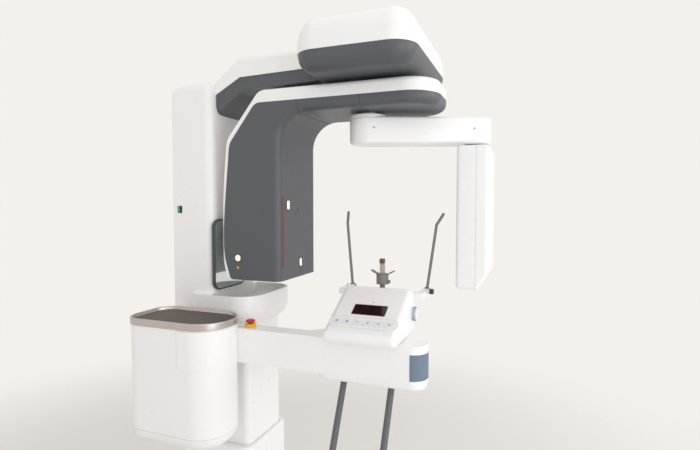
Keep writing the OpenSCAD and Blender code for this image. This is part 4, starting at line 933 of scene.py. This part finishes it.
class SCANNER_OT_fittings(bpy.types.Operator):
    """Makes the lamps, filters, ribs and other small fittings"""
    bl_idname = "scanner.fittings"
    bl_label = "Small fittings"

    def execute(self, context):
        detail = context.scene.scanner_detail
        x, y, z = TOWER_LAMP_AT
        lamp_frame = frame_ring(pill(21, 27, 3), pill(17, 23, 1.5), -1, 1.2, on_side(x, y, z))
        piece("power_lamp_frame", lamp_frame, "rim", "carriage")
        for name, shift, high, finish in (("power_lamp", -4.2, 0.5, "green"),
                                          ("power_rocker", 4.2, 2.0, "gap")):
            half = slab(pill(8, 22.6, 1.2), -1, high, on_side(x, y - shift, z))
            piece(name, soft_edges(half, 0.4, 2), finish, "carriage")
        self.source_ports()
        ring = repeat_tree("ribs round a knob")
        dial_turn = Matrix.Rotation(math.pi / 2, 4, "X")
        ribs = repeated(ring, "knob", Matrix.Translation((DIAL_X, -0.7728, DIAL_Z)) @ dial_turn,
                        Count=detail.dial_ribs, Radius=0.022, Size=(0.0016, 0.0018, 0.0100))
        piece("dial_ribs", ribs, "knob", "dial", smooth=0)
        cap = lathe([(0, 12.6), (16, 12.6), (16, 13.8), (14.6, 14.5), (0, 15.2)], 64,
                    Matrix.Translation((DIAL_X, -0.766, DIAL_Z)) @ dial_turn)
        piece("dial_cap", cap, "key", "dial")
        for side, y, turn in (("left", -490.5, -90), ("right", -793.5, 90)):
            knob = Matrix.Translation((0.050, y * MM, 1.119)) @ Matrix.Rotation(math.radians(turn), 4, "X")
            core = lathe([(0, -2), (8.6, -2), (8.6, 11), (7.4, 12.6), (0, 13)], 40, knob)
            piece("temple_knob_" + side, core, "rim", "temple_" + side)
            ribs = repeated(ring, "rim", knob @ Matrix.Translation((0, 0, 0.0062)), Count=detail.knob_ribs,
                            Radius=0.0088, Size=(0.0020, 0.0026, 0.0090))
            piece("temple_knob_ribs_" + side, ribs, "rim", "temple_" + side, smooth=0)
        sleeve = soft_prism([(-37.6, 1225), (-26.4, 1225), (-26.4, 1235.2), (-37.6, 1235.2)], 3, 8.6,
                            lambda a, b, h: Vector((a, -642 + h, b)) * MM)
        piece("bite_sleeve", sleeve, "tip", "chin")
        ridges = repeated(ring, "red", Matrix.Translation((-0.203, -0.216, 1.0220)), Count=detail.stop_ridges,
                          Radius=0.0155, Size=(0.0012, 0.0017, 0.0036))
        piece("stop_ridges", ridges, "red", "stop", smooth=0)
        grid = repeat_tree("bolts in a rectangle", 6)
        wall = Matrix.Translation((0, 0.1618, 1.695)) @ Matrix.Rotation(math.pi / 2, 4, "X")
        for name, place, spread, size in (
                ("floor_bolts", Matrix.Translation((0, 0, 0.0175)), (0.210, 0.234, 0), (0.010, 0, 0.0078)),
                ("wall_bolts", wall, (0.160, 0.050, 0), (0.0075, 0, 0.0050))):
            piece(name, repeated(grid, "screw", place, Spread=spread, Size=size), "screw", "base", smooth=0)
        return {"FINISHED"}

    def source_ports(self):
        """The filter slot, lamps and apertures in the source's inner face and in its side."""
        for name, x, z, w, h, r, finish in (("filter_slot", -119, 1328, 18, 248, 5, "garnet"),
                                            ("upper_lamp", -82, 1424, 21, 32, 6, "warm"),
                                            ("lower_lamp", 14, 1207, 19, 30, 6, "warm"),
                                            ("upper_aperture", -4, 1402, 14, 15, 4, "garnet"),
                                            ("lower_aperture", 14, 1176, 11, 22, 4, "garnet")):
            lens = soft_edges(slab(pill(w, h, r), -2.2, 0.6, on_source(x, z)), 0.3, 2)
            # One of the five stands for the node that holds them all
            stands_for = ("source_windows",) if name == "filter_slot" else ()
            piece("source_" + name, lens, finish, "rotor", stands_for)
            if finish == "warm":
                bezel = frame_ring(pill(w + 6, h + 6, r + 3), pill(w + 0.4, h + 0.4, r + 0.2), -0.4, 0.9,
                                   on_source(x, z))
                piece("source_%s_bezel" % name, bezel, "gap", "rotor")
        for name, z, r, finish in (("side_lamp", 1232, 12, "warm"), ("side_marker", 1197, 5, "amber")):
            out = (Matrix.Translation(Vector((SOURCE_SIDE_X, -131, z)) * MM)
                   @ Matrix.Rotation(-math.pi / 2, 4, "Y"))
            lens = lathe([(0, -2.2), (r, -2.2), (r, 0), (r * 0.8, 0.9), (0, 1.3)], 40, out)
            piece("source_" + name, lens, finish, "rotor")
            if finish == "warm":
                bezel = lathe([(r + 0.2, -0.4), (r + 3.2, -0.4), (r + 3.2, 0.6), (r + 2.0, 1.0),
                               (r + 0.2, 0.6), (r + 0.2, -0.4)], 40, out)
                piece("source_%s_bezel" % name, bezel, "gap", "rotor")


class SCANNER_OT_seams(bpy.types.Operator):
    """Paints the shade in the joints between moulded covers that are one piece in the source, as thin darker
    strips
    """
    bl_idname = "scanner.seams"
    bl_label = "Joints of the covers"

    def execute(self, context):
        width = context.scene.scanner_detail.seam_width
        # Each strip is painted shade of a joint's groove: black on the dark shell, light grey on the white
        # cabinet
        for name, node, point, normal in (
                ("arm_joint_shade_back", "source_shell", (0, -374, 1760), (0, 1, 0)),
                ("arm_joint_shade_front", "source_shell", (0, -598, 1760), (0, 1, 0)),
                ("cabinet_joint_shade", "cabinet", (-300, 0, 668), (0, 0, 1))):
            band = seam_band(plain(merged(node)), point, normal, width)
            piece(name, band, "seam" if node == "cabinet" else "gap", body_of(node))
        return {"FINISHED"}


class SCANNER_PT_panel(bpy.types.Panel):
    """Lists the steps in their order, with the sizes and colours above them"""
    bl_idname = "SCANNER_PT_panel"
    bl_label = "Scanner"
    bl_space_type = "VIEW_3D"
    bl_region_type = "UI"
    bl_category = "Scanner"

    def draw(self, context):
        for group in [getattr(context.scene, name) for name in GROUPS]:
            for name in group.bl_rna.properties.keys():
                if name not in ("rna_type", "name"):
                    self.layout.prop(group, name)
        for step in STEPS:
            self.layout.operator(step.bl_idname)


STEPS = [SCANNER_OT_stage, SCANNER_OT_finishes, SCANNER_OT_covers, SCANNER_OT_sensor, SCANNER_OT_control,
         SCANNER_OT_tray, SCANNER_OT_fittings, SCANNER_OT_seams]
GROUPS = {"scanner_stage": StageSettings, "scanner_finish": FinishSettings, "scanner_detail": DetailSettings}
CLASSES = list(GROUPS.values()) + STEPS + [SCANNER_PT_panel]


def register():
    for cls in CLASSES:
        bpy.utils.register_class(cls)
    for name, group in GROUPS.items():
        setattr(bpy.types.Scene, name, PointerProperty(type=group))


def unregister():
    for name in GROUPS:
        delattr(bpy.types.Scene, name)
    for cls in reversed(CLASSES):
        bpy.utils.unregister_class(cls)


def main():
    """Runs every step in its order."""
    register()
    for step in STEPS:
        group, name = step.bl_idname.split(".")
        getattr(getattr(bpy.ops, group), name)()
    bpy.context.view_layer.update()


if __name__ == "__main__":
    main()
